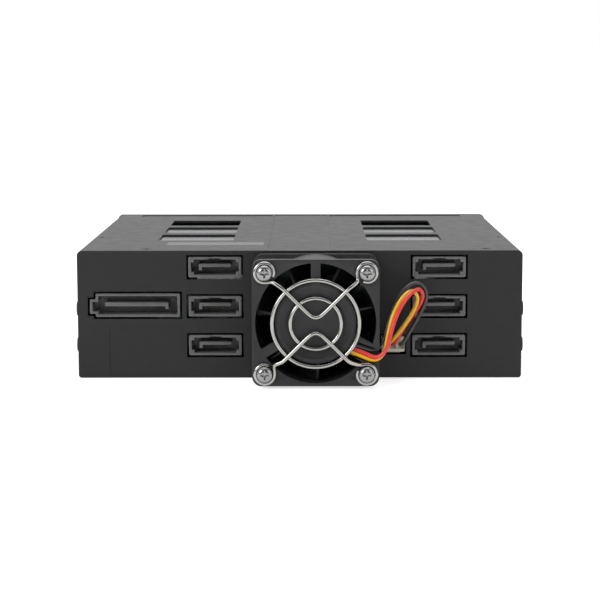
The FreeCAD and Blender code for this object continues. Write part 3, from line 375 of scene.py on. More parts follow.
class Finishes:
    """Every finish of the cage."""

    COVER = Finish(
        "cover_powder_coat", "cover_paint", linear(36, 36, 37), Grain.POWDER,
        roughness=0.46, specular=0.4, mottle=0.05, spread=0.03, grain_size=0.00035,
        relief=0.000012, wear=0.15,
    )
    SHELL = Finish(
        "shell_powder_coat", "shell_paint", linear(32, 32, 33), Grain.POWDER,
        roughness=0.46, specular=0.4, mottle=0.06, spread=0.04, grain_size=0.00035,
        relief=0.000012, wear=0.15,
    )
    REAR = Finish(
        "rear_powder_coat", "rear_paint", linear(25, 25, 26), Grain.POWDER,
        roughness=0.54, specular=0.34, mottle=0.08, spread=0.04, grain_size=0.0003,
        relief=0.000012, wear=0.1,
    )
    BEZEL = Finish(
        "bezel_moulding", "bezel_plastic", linear(36, 36, 37), Grain.MOULDED, wear=0.1,
    )
    STEEL = Finish(
        "plated_sheet", "bare_steel", linear(186, 188, 190), Grain.ROLLED,
        roughness=0.36, metallic=1.0, mottle=0.06, relief=0.000004,
    )
    SLED = Finish(
        "sled_sheet", "sled_steel", linear(130, 131, 133), Grain.ROLLED,
        roughness=0.38, metallic=1.0, mottle=0.05, relief=0.000004,
    )
    BOARD = Finish(
        "board_mask", "board_green", linear(16, 62, 38), Grain.LACQUER,
        roughness=0.32, relief=0.00003, coat=0.3,
    )
    SCREW = Finish(
        "zinc_screws", "screw_steel", linear(140, 140, 141), Grain.PLATED,
        roughness=0.26, metallic=1.0, mottle=0.08, relief=0.000003,
    )
    DARK_SCREW = Finish(
        "blackened_screws", "black_screw", linear(9, 9, 10), Grain.PLATED,
        specular=0.25, relief=0.000004, wear=0.2,
    )
    # The port mouldings are black plastic; their grey tone is painted reflection standing in for
    # the shine of the glossy shroud faces.
    PORT = Finish(
        "port_moulding", "port_plastic", linear(84, 84, 85), Grain.MOULDED,
        roughness=0.4, grain_size=0.00025, relief=0.00001, wear=0.5,
    )
    SOCKET = Finish(
        "socket_moulding", "socket_plastic", linear(30, 30, 31), Grain.MOULDED,
        roughness=0.45, grain_size=0.00025, relief=0.00001,
    )
    FAN = Finish(
        "fan_moulding", "fan_plastic", linear(34, 34, 36), Grain.MOULDED,
        roughness=0.48, specular=0.38, grain_size=0.0003, relief=0.000012, wear=0.2,
    )
    ROTOR = Finish(
        "rotor_moulding", "rotor_plastic", linear(22, 22, 24), Grain.MOULDED,
        roughness=0.4, specular=0.3, grain_size=0.0003, relief=0.00001,
    )
    GUARD = Finish(
        "guard_plating", "guard_chrome", linear(158, 157, 154), Grain.PLATED,
        roughness=0.16, metallic=1.0, mottle=0.06, spread=0.06, relief=0.000002,
    )
    BUSH = Finish(
        "sintered_bush", "bush_brass", linear(196, 160, 92), Grain.PLATED,
        roughness=0.4, metallic=1.0, relief=0.000006,
    )
    CORE = Finish(
        "core_sheets", "core_steel", linear(120, 118, 116), Grain.ROLLED,
        metallic=1.0, relief=0.00001,
    )
    NYLON = Finish(
        "header_moulding", "header_nylon", linear(196, 193, 182), Grain.MOULDED,
        roughness=0.4, mottle=0.03, relief=0.000008, translucent=0.25,
    )
    YELLOW = Finish(
        "yellow_sleeve", "wire_yellow", linear(228, 176, 30), Grain.SLEEVE,
        roughness=0.36, mottle=0.05, relief=0.000008, coat=0.15,
    )
    RED = Finish(
        "red_sleeve", "wire_red", linear(214, 46, 42), Grain.SLEEVE,
        roughness=0.36, mottle=0.05, relief=0.000008, coat=0.15,
    )
    BLACK = Finish(
        "black_sleeve", "wire_black", linear(30, 30, 32), Grain.SLEEVE,
        roughness=0.34, mottle=0.08, relief=0.000008, coat=0.2,
    )
    TRAY = Finish(
        "tray_moulding", "tray_plastic", linear(34, 34, 35), Grain.MOULDED,
        relief=0.000014, wear=0.15,
    )
    LEVER = Finish(
        "lever_moulding", "lever_plastic", linear(44, 44, 46), Grain.MOULDED,
        roughness=0.42, relief=0.000012, wear=0.2,
    )
    BUTTON = Finish(
        "button_moulding", "button_plastic", linear(62, 62, 64), Grain.MOULDED,
        roughness=0.38, relief=0.00001, wear=0.2,
    )
    GOLD = Finish(
        "contact_plating", "socket_plastic", linear(150, 134, 98), Grain.PLATED,
        roughness=0.3, metallic=1.0, relief=0.000001,
    )
    STRIP = Finish(
        "paper_strip", "cover_paint", linear(128, 128, 129), Grain.PAPER,
        roughness=0.7, mottle=0.04, relief=0.000004,
    )
    LENS = Finish(
        "lamp_lens", "tray_plastic", linear(206, 212, 214), Grain.PLATED,
        roughness=0.16, mottle=0.03, relief=0.000001, translucent=0.5,
    )


def spot(x: float, y: float, z: float) -> Vector:
    """Return a place in metres from millimetres, with y counted from the rear face."""
    return Vector((x, y + REAR, z)) * MM


class Bench:
    """Steps of modelling by hand; sizes are in millimetres and places as spot() takes them."""

    @staticmethod
    def clear() -> None:
        """Leave edit mode and select nothing."""
        if bpy.context.object is not None and bpy.context.object.mode != "OBJECT":
            bpy.ops.object.mode_set(mode="OBJECT")
        bpy.ops.object.select_all(action="DESELECT")

    @classmethod
    def hold(cls, *pieces: Piece) -> None:
        """Select these pieces only; the first one is active."""
        cls.clear()
        for piece in pieces:
            piece.select_set(True)
        bpy.context.view_layer.objects.active = pieces[0]

    @staticmethod
    def added(name: str, data: bpy.types.ID) -> Piece:
        """Put a mesh, curve, lamp or camera into the scene."""
        piece = bpy.data.objects.new(name, data)
        bpy.context.collection.objects.link(piece)
        return piece

    @staticmethod
    def settle(name: str) -> Piece:
        """Name the active piece and move its place into its mesh."""
        piece = bpy.context.object
        piece.name = name
        piece.data.name = name
        bpy.ops.object.transform_apply(location=True, rotation=True, scale=True)
        return piece

    @classmethod
    def block(cls, name: str, low: Point, high: Point) -> Piece:
        """Add a block between two corners."""
        cls.clear()
        first, last = spot(*low), spot(*high)
        bpy.ops.mesh.primitive_cube_add(size=1.0, location=(first + last) / 2)
        bpy.context.object.scale = last - first
        return cls.settle(name)

    @classmethod
    def rod(cls, name: str, start: Point, end: Point, radius: float, sides: int) -> Piece:
        """Add a round bar.

        Args:
            name: Name of the piece.
            start: Middle of one end.
            end: Middle of the other end.
            radius: Radius of the bar.
            sides: Corners of its outline.

        Returns:
            The bar.
        """
        cls.clear()
        first, last = spot(*start), spot(*end)
        along = last - first
        bpy.ops.mesh.primitive_cylinder_add(
            vertices=sides, radius=radius * MM, depth=along.length,
            location=(first + last) / 2, rotation=along.to_track_quat("Z", "X").to_euler(),
        )
        return cls.settle(name)

    @classmethod
    def ring(cls, name: str, middle: Point, radius: float, wire: float) -> Piece:
        """Add a ring of round wire that faces along Y."""
        cls.clear()
        bpy.ops.mesh.primitive_torus_add(
            major_radius=radius * MM, minor_radius=wire / 2 * MM, major_segments=96,
            minor_segments=16, location=spot(*middle), rotation=(math.pi / 2, 0.0, 0.0),
        )
        return cls.settle(name)

    @classmethod
    def tube(
        cls, name: str, line: Sequence[Point], width: float, order: int, steps: int, rim: int
    ) -> Piece:
        """Add a curve with round section and closed ends that follows a smooth line.

        Args:
            name: Name of the piece.
            line: Guide points of the line.
            width: Diameter of the tube.
            order: How many guide points pull at each place.
            steps: Steps from one guide point to the next.
            rim: Fineness of the section.

        Returns:
            The curve.
        """
        curve = bpy.data.curves.new(name, "CURVE")
        curve.dimensions = "3D"
        spline = curve.splines.new("NURBS")
        spline.points.add(len(line) - 1)
        for point, place in zip(spline.points, line):
            point.co = (*spot(*place), 1.0)
        spline.order_u = order
        spline.use_endpoint_u = True
        spline.resolution_u = steps
        curve.bevel_depth = width / 2 * MM
        curve.bevel_resolution = rim
        curve.use_fill_caps = True
        return cls.added(name, curve)

    @classmethod
    def bent(cls, name: str, line: Sequence[Point], wire: float) -> Piece:
        """Add a stiff bent wire as a mesh, along the guide points of its line."""
        cls.hold(cls.tube(name, line, wire, order=4, steps=6, rim=5))
        bpy.ops.object.convert(target="MESH")
        return cls.settle(name)

    @classmethod
    def pick(cls, piece: Piece, test: Callable[[Vector], bool]) -> None:
        """Go to edit mode and select the faces whose normal passes a test."""
        cls.hold(piece)
        bpy.ops.object.mode_set(mode="EDIT")
        bpy.ops.mesh.select_mode(type="FACE")
        bpy.ops.mesh.select_all(action="DESELECT")
        shape = bmesh.from_edit_mesh(piece.data)
        for face in shape.faces:
            face.select_set(test(face.normal))
        bmesh.update_edit_mesh(piece.data)

    @staticmethod
    def crown(steps: Sequence[Pair]) -> None:
        """Raise the picked face in steps, each an inset and a rise, to a low dome."""
        for inwards, out in steps:
            bpy.ops.mesh.inset(thickness=inwards * MM, depth=out * MM)

    @classmethod
    def modify(cls, piece: Piece, kind: str, **settings: object) -> None:
        """Add one modifier with its settings and apply it."""
        cls.hold(piece)
        made = piece.modifiers.new(kind.lower(), kind)
        for key, value in settings.items():
            setattr(made, key, value)
        bpy.ops.object.modifier_apply(modifier=made.name)

    @classmethod
    def bevel(
        cls, piece: Piece, width: float, segments: int, angle: float = 35.0,
        miter: str = "MITER_ARC", **settings: object,
    ) -> None:
        """Round every edge that is sharper than an angle in degrees."""
        cls.modify(
            piece, "BEVEL", width=width * MM, segments=segments, limit_method="ANGLE",
            angle_limit=math.radians(angle), miter_outer=miter, **settings,
        )

    @classmethod
    def smooth(cls, piece: Piece, angle: float = 40.0) -> None:
        """Shade a piece smooth across edges that are flatter than an angle in degrees."""
        cls.hold(piece)
        bpy.ops.object.shade_smooth_by_angle(angle=math.radians(angle))

    @classmethod
    def hollow(cls, piece: Piece, tool: Piece) -> None:
        """Cut a tool's shape out of a piece, and drop the tool."""
        cls.modify(piece, "BOOLEAN", operation="DIFFERENCE", object=tool, solver="EXACT")
        bpy.data.objects.remove(tool)

    @classmethod
    def joined(cls, name: str, *pieces: Piece) -> Piece:
        """Make one object of several."""
        cls.hold(*pieces)
        bpy.ops.object.join()
        pieces[0].name = name
        pieces[0].data.name = name
        return pieces[0]

    @classmethod
    def copied(cls, piece: Piece, name: str, shift: Point) -> Piece:
        """Copy a piece with its own mesh to a place that many millimetres away."""
        twin = cls.added(name, piece.data.copy())
        cls.hold(twin)
        twin.location = Vector(shift) * MM
        return cls.settle(name)

    @classmethod
    def softened(
        cls, node: Piece, name: str, width: float, segments: int = 2, limited: bool = False
    ) -> Piece:
        """Copy a node's mesh, merge its corners and round its edges.

        Args:
            node: The node whose form is right but for its sharp edges.
            name: Name of the new piece.
            width: Width of the rounding.
            segments: Steps of the rounding.
            limited: Whether narrow faces hold the rounding back.

        Returns:
            The rounded piece.
        """
        piece = cls.added(name, node.data.copy())
        cls.hold(piece)
        bpy.ops.object.mode_set(mode="EDIT")
        bpy.ops.mesh.select_all(action="SELECT")
        bpy.ops.mesh.remove_doubles(threshold=MERGED * MM)
        bpy.ops.mesh.customdata_custom_splitnormals_clear()
        bpy.ops.object.mode_set(mode="OBJECT")
        cls.bevel(piece, width, segments, loop_slide=False, use_clamp_overlap=limited)
        cls.smooth(piece)
        return piece

    @staticmethod
    def handed_over(
        piece: Piece, finish: Finish, body: str = "cage", stands_for: Sequence[str] = ()
    ) -> Piece:
        """Give a piece its finish and its body.

        Args:
            piece: The finished piece.
            finish: What it is made of.
            body: Body that it moves with.
            stands_for: Nodes that it replaces.

        Returns:
            The same piece.
        """
        piece.data.materials.clear()
        piece.data.materials.append(finish.material())
        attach(piece, body)
        if stands_for:
            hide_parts(*stands_for)
        log.info("%s: %s", piece.name, finish.name)
        return piece


class Side(Enum):
    """Left or right of the cage's middle, as seen from the fan."""

    LEFT = -1
    RIGHT = 1


def bays() -> Iterator[tuple[int, Side, int]]:
    """Yield each bay's number, side and row, down the left column and then down the right."""
    number = 0
    for side in Side:
        for row in (2, 1, 0):
            number += 1
            yield number, side, row


@dataclass
class Assembly:
    """Part of the cage that turns nodes of the frame into dressed pieces."""

    nodes: dict

    def dressed(
        self, node: str, name: str, width: float, finish: Finish, body: str = "cage",
        **options: object,
    ) -> Piece:
        """Round a node's edges, dress the piece and let it stand for the node.

        Args:
            node: Name of the node.
            name: Name of the new piece.
            width: Width of the rounding.
            finish: What it is made of.
            body: Body that it moves with.
            **options: Further options of the rounding.

        Returns:
            The dressed piece.
        """
        piece = Bench.softened(self.nodes[node], name, width, **options)
        return Bench.handed_over(piece, finish, body, [node])


@dataclass(frozen=True)
class Lamp:
    """One soft square lamp; its place and size are in metres, its power in watts."""

    name: str
    place: Point
    size: Pair
    power: float


@dataclass
class Studio:
    """Camera, lamps, surroundings and pale floor.

    Attributes:
        eye: Place of the camera in millimetres; its turns are in degrees.
        aim: Place in metres that the lamps face.
        sky: Strength of the surroundings as a light.
        room: Their strength in front of the cage, where only gloss shows them.
        room_reach: Heading along Y from where they are that dark to where they are white.
        floor_lift: Own light of the floor where it is seen.
    """

    eye: Point = (2.62, -576.2, 102.92)
    pitch: float = 7.655
    yaw: float = 0.25
    roll: float = -0.099
    lens: float = 107.73
    sensor: float = 36.0
    clip: float = 0.01
    aim: Point = (0.0, -0.05, 0.02)
    lamps: tuple[Lamp, ...] = (
        Lamp("key", (-0.62, -0.62, 0.42), (0.5, 0.4), 4.2),
        Lamp("fill", (0.55, -0.6, 0.3), (0.5, 0.5), 1.4),
        Lamp("overhead", (0.0, 0.1, 0.9), (0.8, 0.8), 4.2),
    )
    sky: float = 0.42
    room: float = 0.06
    room_reach: Pair = (-0.9, 0.15)
    floor_width: float = 6.0
    floor_depth: float = -0.0002
    floor_tone: float = 0.86
    floor_lift: float = 0.66

    def camera(self) -> None:
        """Place the camera where the photograph was taken from."""
        pitch, yaw, roll = (math.radians(a) for a in (self.pitch, self.yaw, self.roll))
        ahead = Vector((
            -math.sin(yaw) * math.cos(pitch), math.cos(yaw) * math.cos(pitch), -math.sin(pitch)
        ))
        level = Vector((math.cos(yaw), math.sin(yaw), 0.0))
        upright = level.cross(ahead)
        right = level * math.cos(roll) + upright * math.sin(roll)
        up = upright * math.cos(roll) - level * math.sin(roll)
        data = bpy.data.cameras.new("camera")
        data.lens = self.lens
        data.sensor_width = self.sensor
        data.clip_start = self.clip
        data.dof.use_dof = False
        camera = Bench.added("camera", data)
        turn = Matrix((right, up, -ahead)).transposed().to_4x4()
        camera.matrix_world = Matrix.Translation(spot(*self.eye)) @ turn
        bpy.context.scene.camera = camera

    def hang(self, lamp: Lamp) -> None:
        """Hang one lamp so that it faces the cage."""
        data = bpy.data.lights.new(lamp.name, "AREA")
        data.shape = "RECTANGLE"
        data.size, data.size_y = lamp.size
        data.energy = lamp.power
        hung = Bench.added(lamp.name, data)
        hung.location = lamp.place
        ahead = Vector(self.aim) - Vector(lamp.place)
        hung.rotation_euler = ahead.to_track_quat("-Z", "Y").to_euler()

    @staticmethod
    def seen(bench: NodeBench) -> Socket:
        """Return 1 where a ray shows the surroundings, to the eye or in gloss and glass."""
        path = bench.node("ShaderNodeLightPath").outputs
        either = bench.maths("MAXIMUM", path["Is Camera Ray"], path["Is Glossy Ray"])
        return bench.maths("MAXIMUM", either, path["Is Transmission Ray"])

    def surroundings(self) -> None:
        """Make the surroundings white behind the cage, dark in front and softer as a light."""
        world = bpy.data.worlds.new("studio")
        bpy.context.scene.world = world
        world.use_nodes = True
        bench = NodeBench(world.node_tree)
        heading = bench.node("ShaderNodeTexCoord")
        parts = bench.node("ShaderNodeSeparateXYZ")
        bench.link(heading.outputs["Generated"], parts.inputs["Vector"])
        front, back = self.room_reach
        room = bench.node(
            "ShaderNodeMapRange", in_From_Min=front, in_From_Max=back, in_To_Min=self.room
        )
        bench.link(parts.outputs["Y"], room.inputs["Value"])
        strength = bench.node("ShaderNodeMapRange", in_To_Min=self.sky)
        bench.link(room.outputs["Result"], strength.inputs["To Max"])
        bench.link(self.seen(bench), strength.inputs["Value"])
        sky = bench.node("ShaderNodeBackground", in_Color=(1.0, 1.0, 1.0, 1.0))
        bench.link(strength.outputs["Result"], sky.inputs["Strength"])
        output = bench.node("ShaderNodeOutputWorld")
        bench.link(sky.outputs["Background"], output.inputs["Surface"])

    def floor(self) -> None:
        """Lay a wide pale floor that keeps the cage's shadow."""
        Bench.clear()
        place = (0.0, 0.0, self.floor_depth)
        bpy.ops.mesh.primitive_plane_add(size=self.floor_width, location=place)
        floor = Bench.settle("studio_floor")
        material = bpy.data.materials.new("studio_floor")
        material.use_nodes = True
        bench = NodeBench(material.node_tree)
        tone = self.floor_tone
        chalk = bench.node("ShaderNodeBsdfDiffuse", in_Color=(tone, tone, tone, 1.0))
        glow = bench.node("ShaderNodeEmission")
        lift = bench.maths("MULTIPLY", self.seen(bench), self.floor_lift)
        bench.link(lift, glow.inputs["Strength"])
        both = bench.node("ShaderNodeAddShader")
        bench.link(chalk.outputs["BSDF"], both.inputs[0])
        bench.link(glow.outputs["Emission"], both.inputs[1])
        output = bench.node("ShaderNodeOutputMaterial")
        bench.link(both.outputs["Shader"], output.inputs["Surface"])
        floor.data.materials.append(material)

    def build(self) -> None:
        """Set the whole studio up."""
        bpy.context.scene.view_settings.view_transform = "Standard"
        self.camera()
        for lamp in self.lamps:
            self.hang(lamp)
        self.surroundings()
        self.floor()
        log.info("studio is set")


@dataclass(frozen=True)
class Wire:
    """One wire of the fan's lead.

    Attributes:
        node: Node that the wire stands for.
        finish: Its insulation.
        length: Its length in millimetres; not used.
        route: Guide points from the motor base to the plug, in millimetres.
    """

    node: str
    finish: Finish
    length: float
    route: tuple[Point, ...]


@dataclass
class FanLead(Assembly):
    """The fan's three wires with their plug and header."""

    diameter: float = 1.3
    chamber: Point = (1.9, 2.0, 2.3)
    wires: tuple[Wire, ...] = (
        Wire("fan_wire_yellow", Finishes.YELLOW, 63.3, (
            (15.44, -19.35, 11.83), (19.0, -19.35, 10.52), (23.7, -19.5, 8.5), (26.9, -19.8, 11.4),
            (27.6, -20.0, 16.6), (29.2, -19.3, 23.2), (32.0, -16.6, 28.2), (35.5, -13.4, 30.8),
            (37.9, -10.8, 27.8), (36.4, -10.6, 23.4), (32.6, -10.8, 17.6), (28.4, -9.6, 12.3),
            (27.56, -3.3, 11.35),
        )),
        Wire("fan_wire_red", Finishes.RED, 63.6, (
            (15.9, -19.35, 13.1), (19.6, -19.35, 11.74), (24.3, -20.8, 9.6), (27.4, -21.4, 12.5),
            (28.4, -21.4, 17.2), (30.0, -20.7, 22.6), (32.3, -19.2, 27.0), (35.3, -16.6, 30.2),
            (38.2, -13.2, 31.0), (39.5, -10.6, 28.0), (37.6, -9.0, 23.8), (33.6, -8.6, 18.2),
            (30.6, -8.3, 12.6), (30.1, -3.3, 11.35),
        )),
        Wire("fan_wire_black", Finishes.BLACK, 62.5, (
            (16.36, -19.35, 14.37), (19.6, -19.35, 13.18), (23.5, -19.2, 11.7), (26.5, -18.4, 14.6),
            (27.5, -17.9, 19.4), (31.0, -15.2, 28.4), (35.2, -13.2, 32.6), (38.9, -11.8, 32.4),
            (40.9, -9.8, 28.1), (38.9, -9.0, 23.0), (35.9, -9.3, 17.7), (33.0, -8.6, 12.4),
            (32.64, -3.3, 11.35),
        )),
    )

    def lay(self, wire: Wire, on_it: Sequence[Piece]) -> None:
        """Lay one wire along its route.

        Args:
            wire: The wire.
            on_it: Pieces at its end; not used.
        """
        name = wire.node + "_cord"
        piece = Bench.tube(name, wire.route, self.diameter, order=3, steps=12, rim=6)
        Bench.handed_over(piece, wire.finish, "cage", [wire.node])

    def build(self) -> None:
        """Lay the wires, cut their chambers into the plug and dress the header."""
        plug = Bench.softened(self.nodes["fan_plug"], "lead_plug", 0.18)
        wide, deep, tall = self.chamber
        for wire in self.wires:
            x, end, z = wire.route[-1]
            low = (x - wide / 2, end - deep, z - tall / 2)
            high = (x + wide / 2, end, z + tall / 2)
            Bench.hollow(plug, Bench.block("chamber", low, high))
        Bench.smooth(plug)
        Bench.handed_over(plug, Finishes.NYLON, "cage", ["fan_plug"])
        self.dressed("fan_header", "board_header", 0.15, Finishes.NYLON)
        for wire in self.wires:
            self.lay(wire, [plug])


@dataclass
class WireGuard:
    """Chromed guard of two rings under two bent wires that end in open eyes."""

    middle: Pair = (5.1, 20.75)
    face: float = -20.0
    wire: float = 1.3
    rings: Pair = (13.7, 8.0)
    lift: float = 0.3
    weld: float = 0.15
    reach: float = 16.0
    eye: float = 2.85
    eye_pull: float = 1.09
    eye_steps: int = 11
    eye_start: float = 30.0
    gap: float = 22.0
    lead_in: tuple[Point, ...] = ((4.6, 0.0, 0.7), (3.5, -6.0, 0.15))
    apexes: Pair = (2.1, -2.8)
    bend: float = 3.0
    corner_run: tuple[Pair, ...] = ((0.9, 1.2), (2.6, 2.6), (6.0, 6.0), (9.4, 9.4), (10.6, 10.6))

    def eye_line(self, across: int, upright: int) -> list[Point]:
        """Return the guide points from the straight part of a wire round one eye.

        Args:
            across: -1 for an eye on the left, 1 for one on the right.
            upright: 1 for an upper eye, -1 for a lower one.

        Returns:
            The points, which end at the wire's open end.
        """
        x = self.middle[0] + across * self.reach
        z = self.middle[1] + upright * self.reach
        flat = self.face - self.wire / 2
        inwards = math.atan2(-upright, -across)
        line = []
        for radius, turn, lift in self.lead_in:
            angle = inwards + math.radians(turn)
            line.append((x + radius * math.cos(angle), flat - lift, z + radius * math.sin(angle)))
        start, last, steps = self.eye_start, 360.0 - self.gap, self.eye_steps
        for i in range(steps + 1):
            angle = inwards - math.radians(start + (last - start) * i / steps)
            radius = self.eye if i == steps else self.eye * self.eye_pull
            line.append((x + radius * math.cos(angle), flat, z + radius * math.sin(angle)))
        return line

    def bent_wire(self, name: str, apex: float, upright: int) -> Piece:
        """Bend one wire from eye to eye over its apex near the guard's middle."""
        high = self.face - self.lift - 1.5 * self.wire + self.weld
        corner = self.middle[1] + apex - upright * self.bend * (math.sqrt(2.0) - 1.0)
        half = [(run, corner + upright * rise) for run, rise in self.corner_run]
        left = [(self.middle[0] - run, high, z) for run, z in half]
        right = [(self.middle[0] + run, high, z) for run, z in half]
        line = self.eye_line(-1, upright)[::-1] + left[::-1] + right + self.eye_line(1, upright)
        return Bench.bent(name, line, self.wire)

    def build(self) -> None:
        """Make the guard as one welded piece."""
        depth = self.face - self.lift - self.wire / 2
        parts = [
            Bench.ring("guard_ring", (self.middle[0], depth, self.middle[1]), radius, self.wire)
            for radius in self.rings
        ]
        parts.append(self.bent_wire("guard_upper", self.apexes[0], 1))
        parts.append(self.bent_wire("guard_lower", self.apexes[1], -1))
        guard = Bench.joined("fan_wire_guard", *parts)
        Bench.smooth(guard, 60.0)
        Bench.handed_over(guard, Finishes.GUARD, "cage", ["fan_guard"])


@dataclass
class PanScrew:
    """Long pan-head screw with a cross recess and a rolled thread."""

    head: float = 2.45
    rim: float = 0.75
    dome: tuple[Pair, ...] = ((0.3, 0.42), (0.5, 0.3), (0.6, 0.16))
    seat: float = -21.3
    tip: float = 1.0
    tip_taper: float = 0.4
    shank: float = 1.45
    pitch: float = 0.5
    thread: float = 0.2
    slot_width: float = 0.56
    slot_reach: float = 1.45
    slot_depth: float = 0.85

    def model(self, name: str, x: float, z: float) -> Piece:
        """Turn the head, cut its recess and add the threaded shank."""
        top = self.seat - self.rim
        head = Bench.rod(name + "_head", (x, self.seat, z), (x, top, z), self.head, 40)
        Bench.pick(head, lambda normal: normal.y < -0.9)
        Bench.crown(self.dome)
        Bench.clear()
        crown = top - sum(out for _, out in self.dome)
        arms = []
        half = self.slot_width / 2
        for wide, tall in ((self.slot_reach, half), (half, self.slot_reach)):
            low = (x - wide, crown - 1.0, z - tall)
            high = (x + wide, crown + self.slot_depth, z + tall)
            arms.append(Bench.block("arm", low, high))
            Bench.bevel(arms[-1], 0.12, 2)
        for arm in arms:
            Bench.hollow(head, arm)
        Bench.bevel(head, 0.07, 2, 40.0)
        shank = self.threaded(name + "_shank", x, z)
        screw = Bench.joined(name, head, shank)
        Bench.smooth(screw, 35.0)
        return screw

    def threaded(self, name: str, x: float, z: float) -> Piece:
        """Spin a rolled thread about the line along Y at x and z."""
        outline = [(0.0, self.seat)]
        turns = int((self.tip - self.seat) / self.pitch) - 1
        for i in range(turns):
            y = self.seat + i * self.pitch
            outline += [(self.shank, y), (self.shank - self.thread, y + self.pitch / 2)]
        outline += [
            (self.shank, self.tip - self.pitch), (self.shank - self.tip_taper, self.tip),
            (0.0, self.tip),
        ]
        mesh = bpy.data.meshes.new(name)
        places = [spot(x + radius, y, z) for radius, y in outline]
        mesh.from_pydata(places, [(i, i + 1) for i in range(len(places) - 1)], [])
        piece = Bench.added(name, mesh)
        Bench.hold(piece)
        bpy.ops.object.mode_set(mode="EDIT")
        bpy.ops.mesh.select_all(action="SELECT")
        bpy.ops.mesh.spin(
            steps=20, angle=2 * math.pi, center=spot(x, 0.0, z), axis=(0.0, 1.0, 0.0)
        )
        bpy.ops.mesh.select_all(action="SELECT")
        bpy.ops.mesh.remove_doubles(threshold=MERGED * MM)
        bpy.ops.mesh.normals_make_consistent(inside=False)
        Bench.clear()
        return piece


@dataclass
class FanUnit(Assembly):
    """Fan frame, rotor, guard and the four screws that hold them."""

    guard: WireGuard = field(default_factory=WireGuard)

    def build(self) -> None:
        """Model and dress the fan."""
        self.dressed("fan_frame", "fan_housing", 0.22, Finishes.FAN, limited=True)
        self.dressed("fan_rotor", "fan_blades", 0.05, Finishes.ROTOR, "rotor")
        self.guard.build()
        x, z = self.guard.middle
        reach = self.guard.reach
        first = PanScrew().model("fan_screw_1", x - reach, z + reach)
        screws = [first]
        for number, (across, up) in enumerate(((2, 0), (0, -2), (2, -2)), start=2):
            shift = (across * reach, 0.0, up * reach)
            screws.append(Bench.copied(first, f"fan_screw_{number}", shift))
        for screw in screws:
            Bench.handed_over(screw, Finishes.SCREW, "cage", ["fan_screws"])


@dataclass
class ContactRow:
    """Row of plated contacts along X."""

    count: int
    pitch: float = 1.27
    width: float = 0.64
    sheet: float = 0.1
    sunk: float = 0.02

    def build(self, name: str, middle: float, near: float, far: float, level: float) -> None:
        """Lay the contacts from near to far along Y under a level.

        Args:
            name: Name of the row.
            middle: X of the row's middle.
            near: Y of their near ends.
            far: Y of their far ends.
            level: Z of the face that they lie under.
        """
        start = middle - (self.count - 1) * self.pitch / 2
        first = Bench.block(
            name, (start - self.width / 2, near, level - self.sheet),
            (start + self.width / 2, far, level + self.sunk),
        )
        Bench.bevel(first, 0.04, 1)
        rest = [
            Bench.copied(first, f"{name}_{i}", (i * self.pitch, 0.0, 0.0))
            for i in range(1, self.count)
        ]
        row = Bench.joined(name, first, *rest)
        Bench.handed_over(row, Finishes.GOLD)


@dataclass
class RearSockets(Assembly):
    """Data and power sockets in the rear face, with their contacts."""

    middle: float = 8.85
    spacing: float = 72.5
    lowest: float = 10.7
    pitch: float = 12.75
    contacts_shift: float = 0.5
    contacts_reach: Pair = (1.2, 7.4)
    power_middle: float = -53.3
    power_level: float = 23.4

    def build(self) -> None:
        """Round the mouldings' edges and lay the contacts under the tongues."""
        for number, side, row in bays():
            self.dressed(f"data_port_{number}", f"rear_socket_{number}", 0.12, Finishes.PORT)
            x = self.middle + side.value * self.spacing / 2 + self.contacts_shift
            z = self.lowest + row * self.pitch
            ContactRow(7).build(f"rear_contacts_{number}", x, *self.contacts_reach, z)
        self.dressed("power_port", "power_socket", 0.14, Finishes.PORT)
        x, z = self.power_middle, self.power_level
        ContactRow(15).build("power_contacts", x, *self.contacts_reach, z)


@dataclass
class DriveSockets(Assembly):
    """Sockets that the drives plug into, inside the cage."""

    offset: float = 4.8
    front: float = 18.6
    contacts_length: float = 4.0
    contacts_rise: float = 0.7
    rows: tuple = (("power", 15, -6.1), ("data", 7, 11.3))

    def build(self) -> None:
        """Round the sockets' edges and lay the contacts in their slots."""
        for number, side, _ in bays():
            node = f"drive_socket_{number}"
            low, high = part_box(node)
            self.dressed(node, f"bay_socket_{number}", 0.1, Finishes.SOCKET, segments=1)
            x = side.value * BAY_CENTRE + self.offset
            near = self.front - self.contacts_length
            z = (low.z + high.z) / 2 / MM + self.contacts_rise
            for what, count, shift in self.rows:
                name = f"bay_{what}_contacts_{number}"
                ContactRow(count).build(name, x + shift, near, self.front, z)


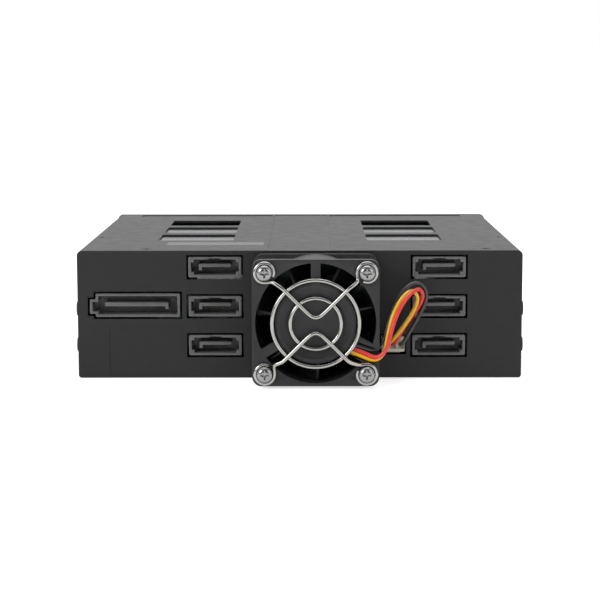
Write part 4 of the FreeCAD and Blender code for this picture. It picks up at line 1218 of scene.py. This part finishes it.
@dataclass
class Trays(Assembly):
    """The six trays' fronts, levers, buttons and lamps."""

    lamp: float = 22.2
    front: float = 138.0
    lens_radius: float = 0.86
    lens_reach: Pair = (6.0, 0.45)
    lens_dome: tuple[Pair, ...] = ((0.16, 0.18), (0.28, 0.1))

    def lens(self, name: str, x: float, z: float) -> Piece:
        """Turn a lamp's lens with a low dome."""
        back, face = (self.front - depth for depth in self.lens_reach)
        lens = Bench.rod(name, (x, back, z), (x, face, z), self.lens_radius, 24)
        Bench.pick(lens, lambda normal: normal.y > 0.9)
        Bench.crown(self.lens_dome)
        Bench.smooth(lens, 50.0)
        return lens

    def build(self) -> None:
        """Round the mouldings' edges and set the lamps' lenses."""
        for n, side, _ in bays():
            face, body = f"tray_face_{n}", f"tray_{n}"
            self.dressed(face, f"tray_front_{n}", 0.2, Finishes.TRAY, body, limited=True)
            self.dressed(f"tray_lever_{n}", f"pull_lever_{n}", 0.18, Finishes.LEVER, f"lever_{n}")
            self.dressed(
                f"tray_button_{n}", f"release_button_{n}", 0.14, Finishes.BUTTON, f"button_{n}"
            )
            low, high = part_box(face)
            x, z = side.value * BAY_CENTRE + self.lamp, (low.z + high.z) / 2 / MM
            Bench.handed_over(self.lens(f"lamp_lens_{n}", x, z), Finishes.LENS, body)


@dataclass
class CoverTrim(Assembly):
    """Bezel ring and the bare strip on the cover."""

    strip: tuple[Pair, Pair] = ((-44.5, -12.1), (18.0, 27.0))
    top: float = 41.5
    sheet: float = 0.06
    sunk: float = 0.04

    def build(self) -> None:
        """Round the bezel's edges and lay the strip."""
        self.dressed("front_bezel", "front_ring", 0.2, Finishes.BEZEL)
        (left, right), (near, far) = self.strip
        low = (left, near, self.top - self.sunk)
        high = (right, far, self.top + self.sheet - self.sunk)
        strip = Bench.block("bare_strip", low, high)
        Bench.bevel(strip, 0.8, 4, miter="MITER_SHARP", use_clamp_overlap=True)
        Bench.smooth(strip)
        Bench.handed_over(strip, Finishes.STRIP)


@dataclass
class CageDressing:
    """Finishes of the nodes whose own shape is shown."""

    frame: dict

    def build(self) -> None:
        """Give each node that is still shown the first finish of its slot."""
        by_slot = {}
        for finish in vars(Finishes).values():
            if isinstance(finish, Finish):
                by_slot.setdefault(finish.slot, finish)
        slots = {row["node"]: row["material_slot"] for row in self.frame["record"]["subparts"]}
        for name, node in self.frame["nodes"].items():
            if node.hide_render:
                continue
            finish = by_slot[slots[name]]
            if not node.material_slots:
                node.data.materials.append(None)
            for place in node.material_slots:
                place.material = finish.material()
            log.info("%s: %s", name, finish.name)


def main() -> None:
    """Build the cage piece by piece."""
    logging.basicConfig(level=logging.INFO, format="%(name)s %(message)s")
    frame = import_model()
    nodes = frame["nodes"]
    Studio().build()
    FanLead(nodes).build()
    FanUnit(nodes).build()
    RearSockets(nodes).build()
    DriveSockets(nodes).build()
    Trays(nodes).build()
    CoverTrim(nodes).build()
    CageDressing(frame).build()
    Bench.clear()


if __name__ == "__main__":
    main()
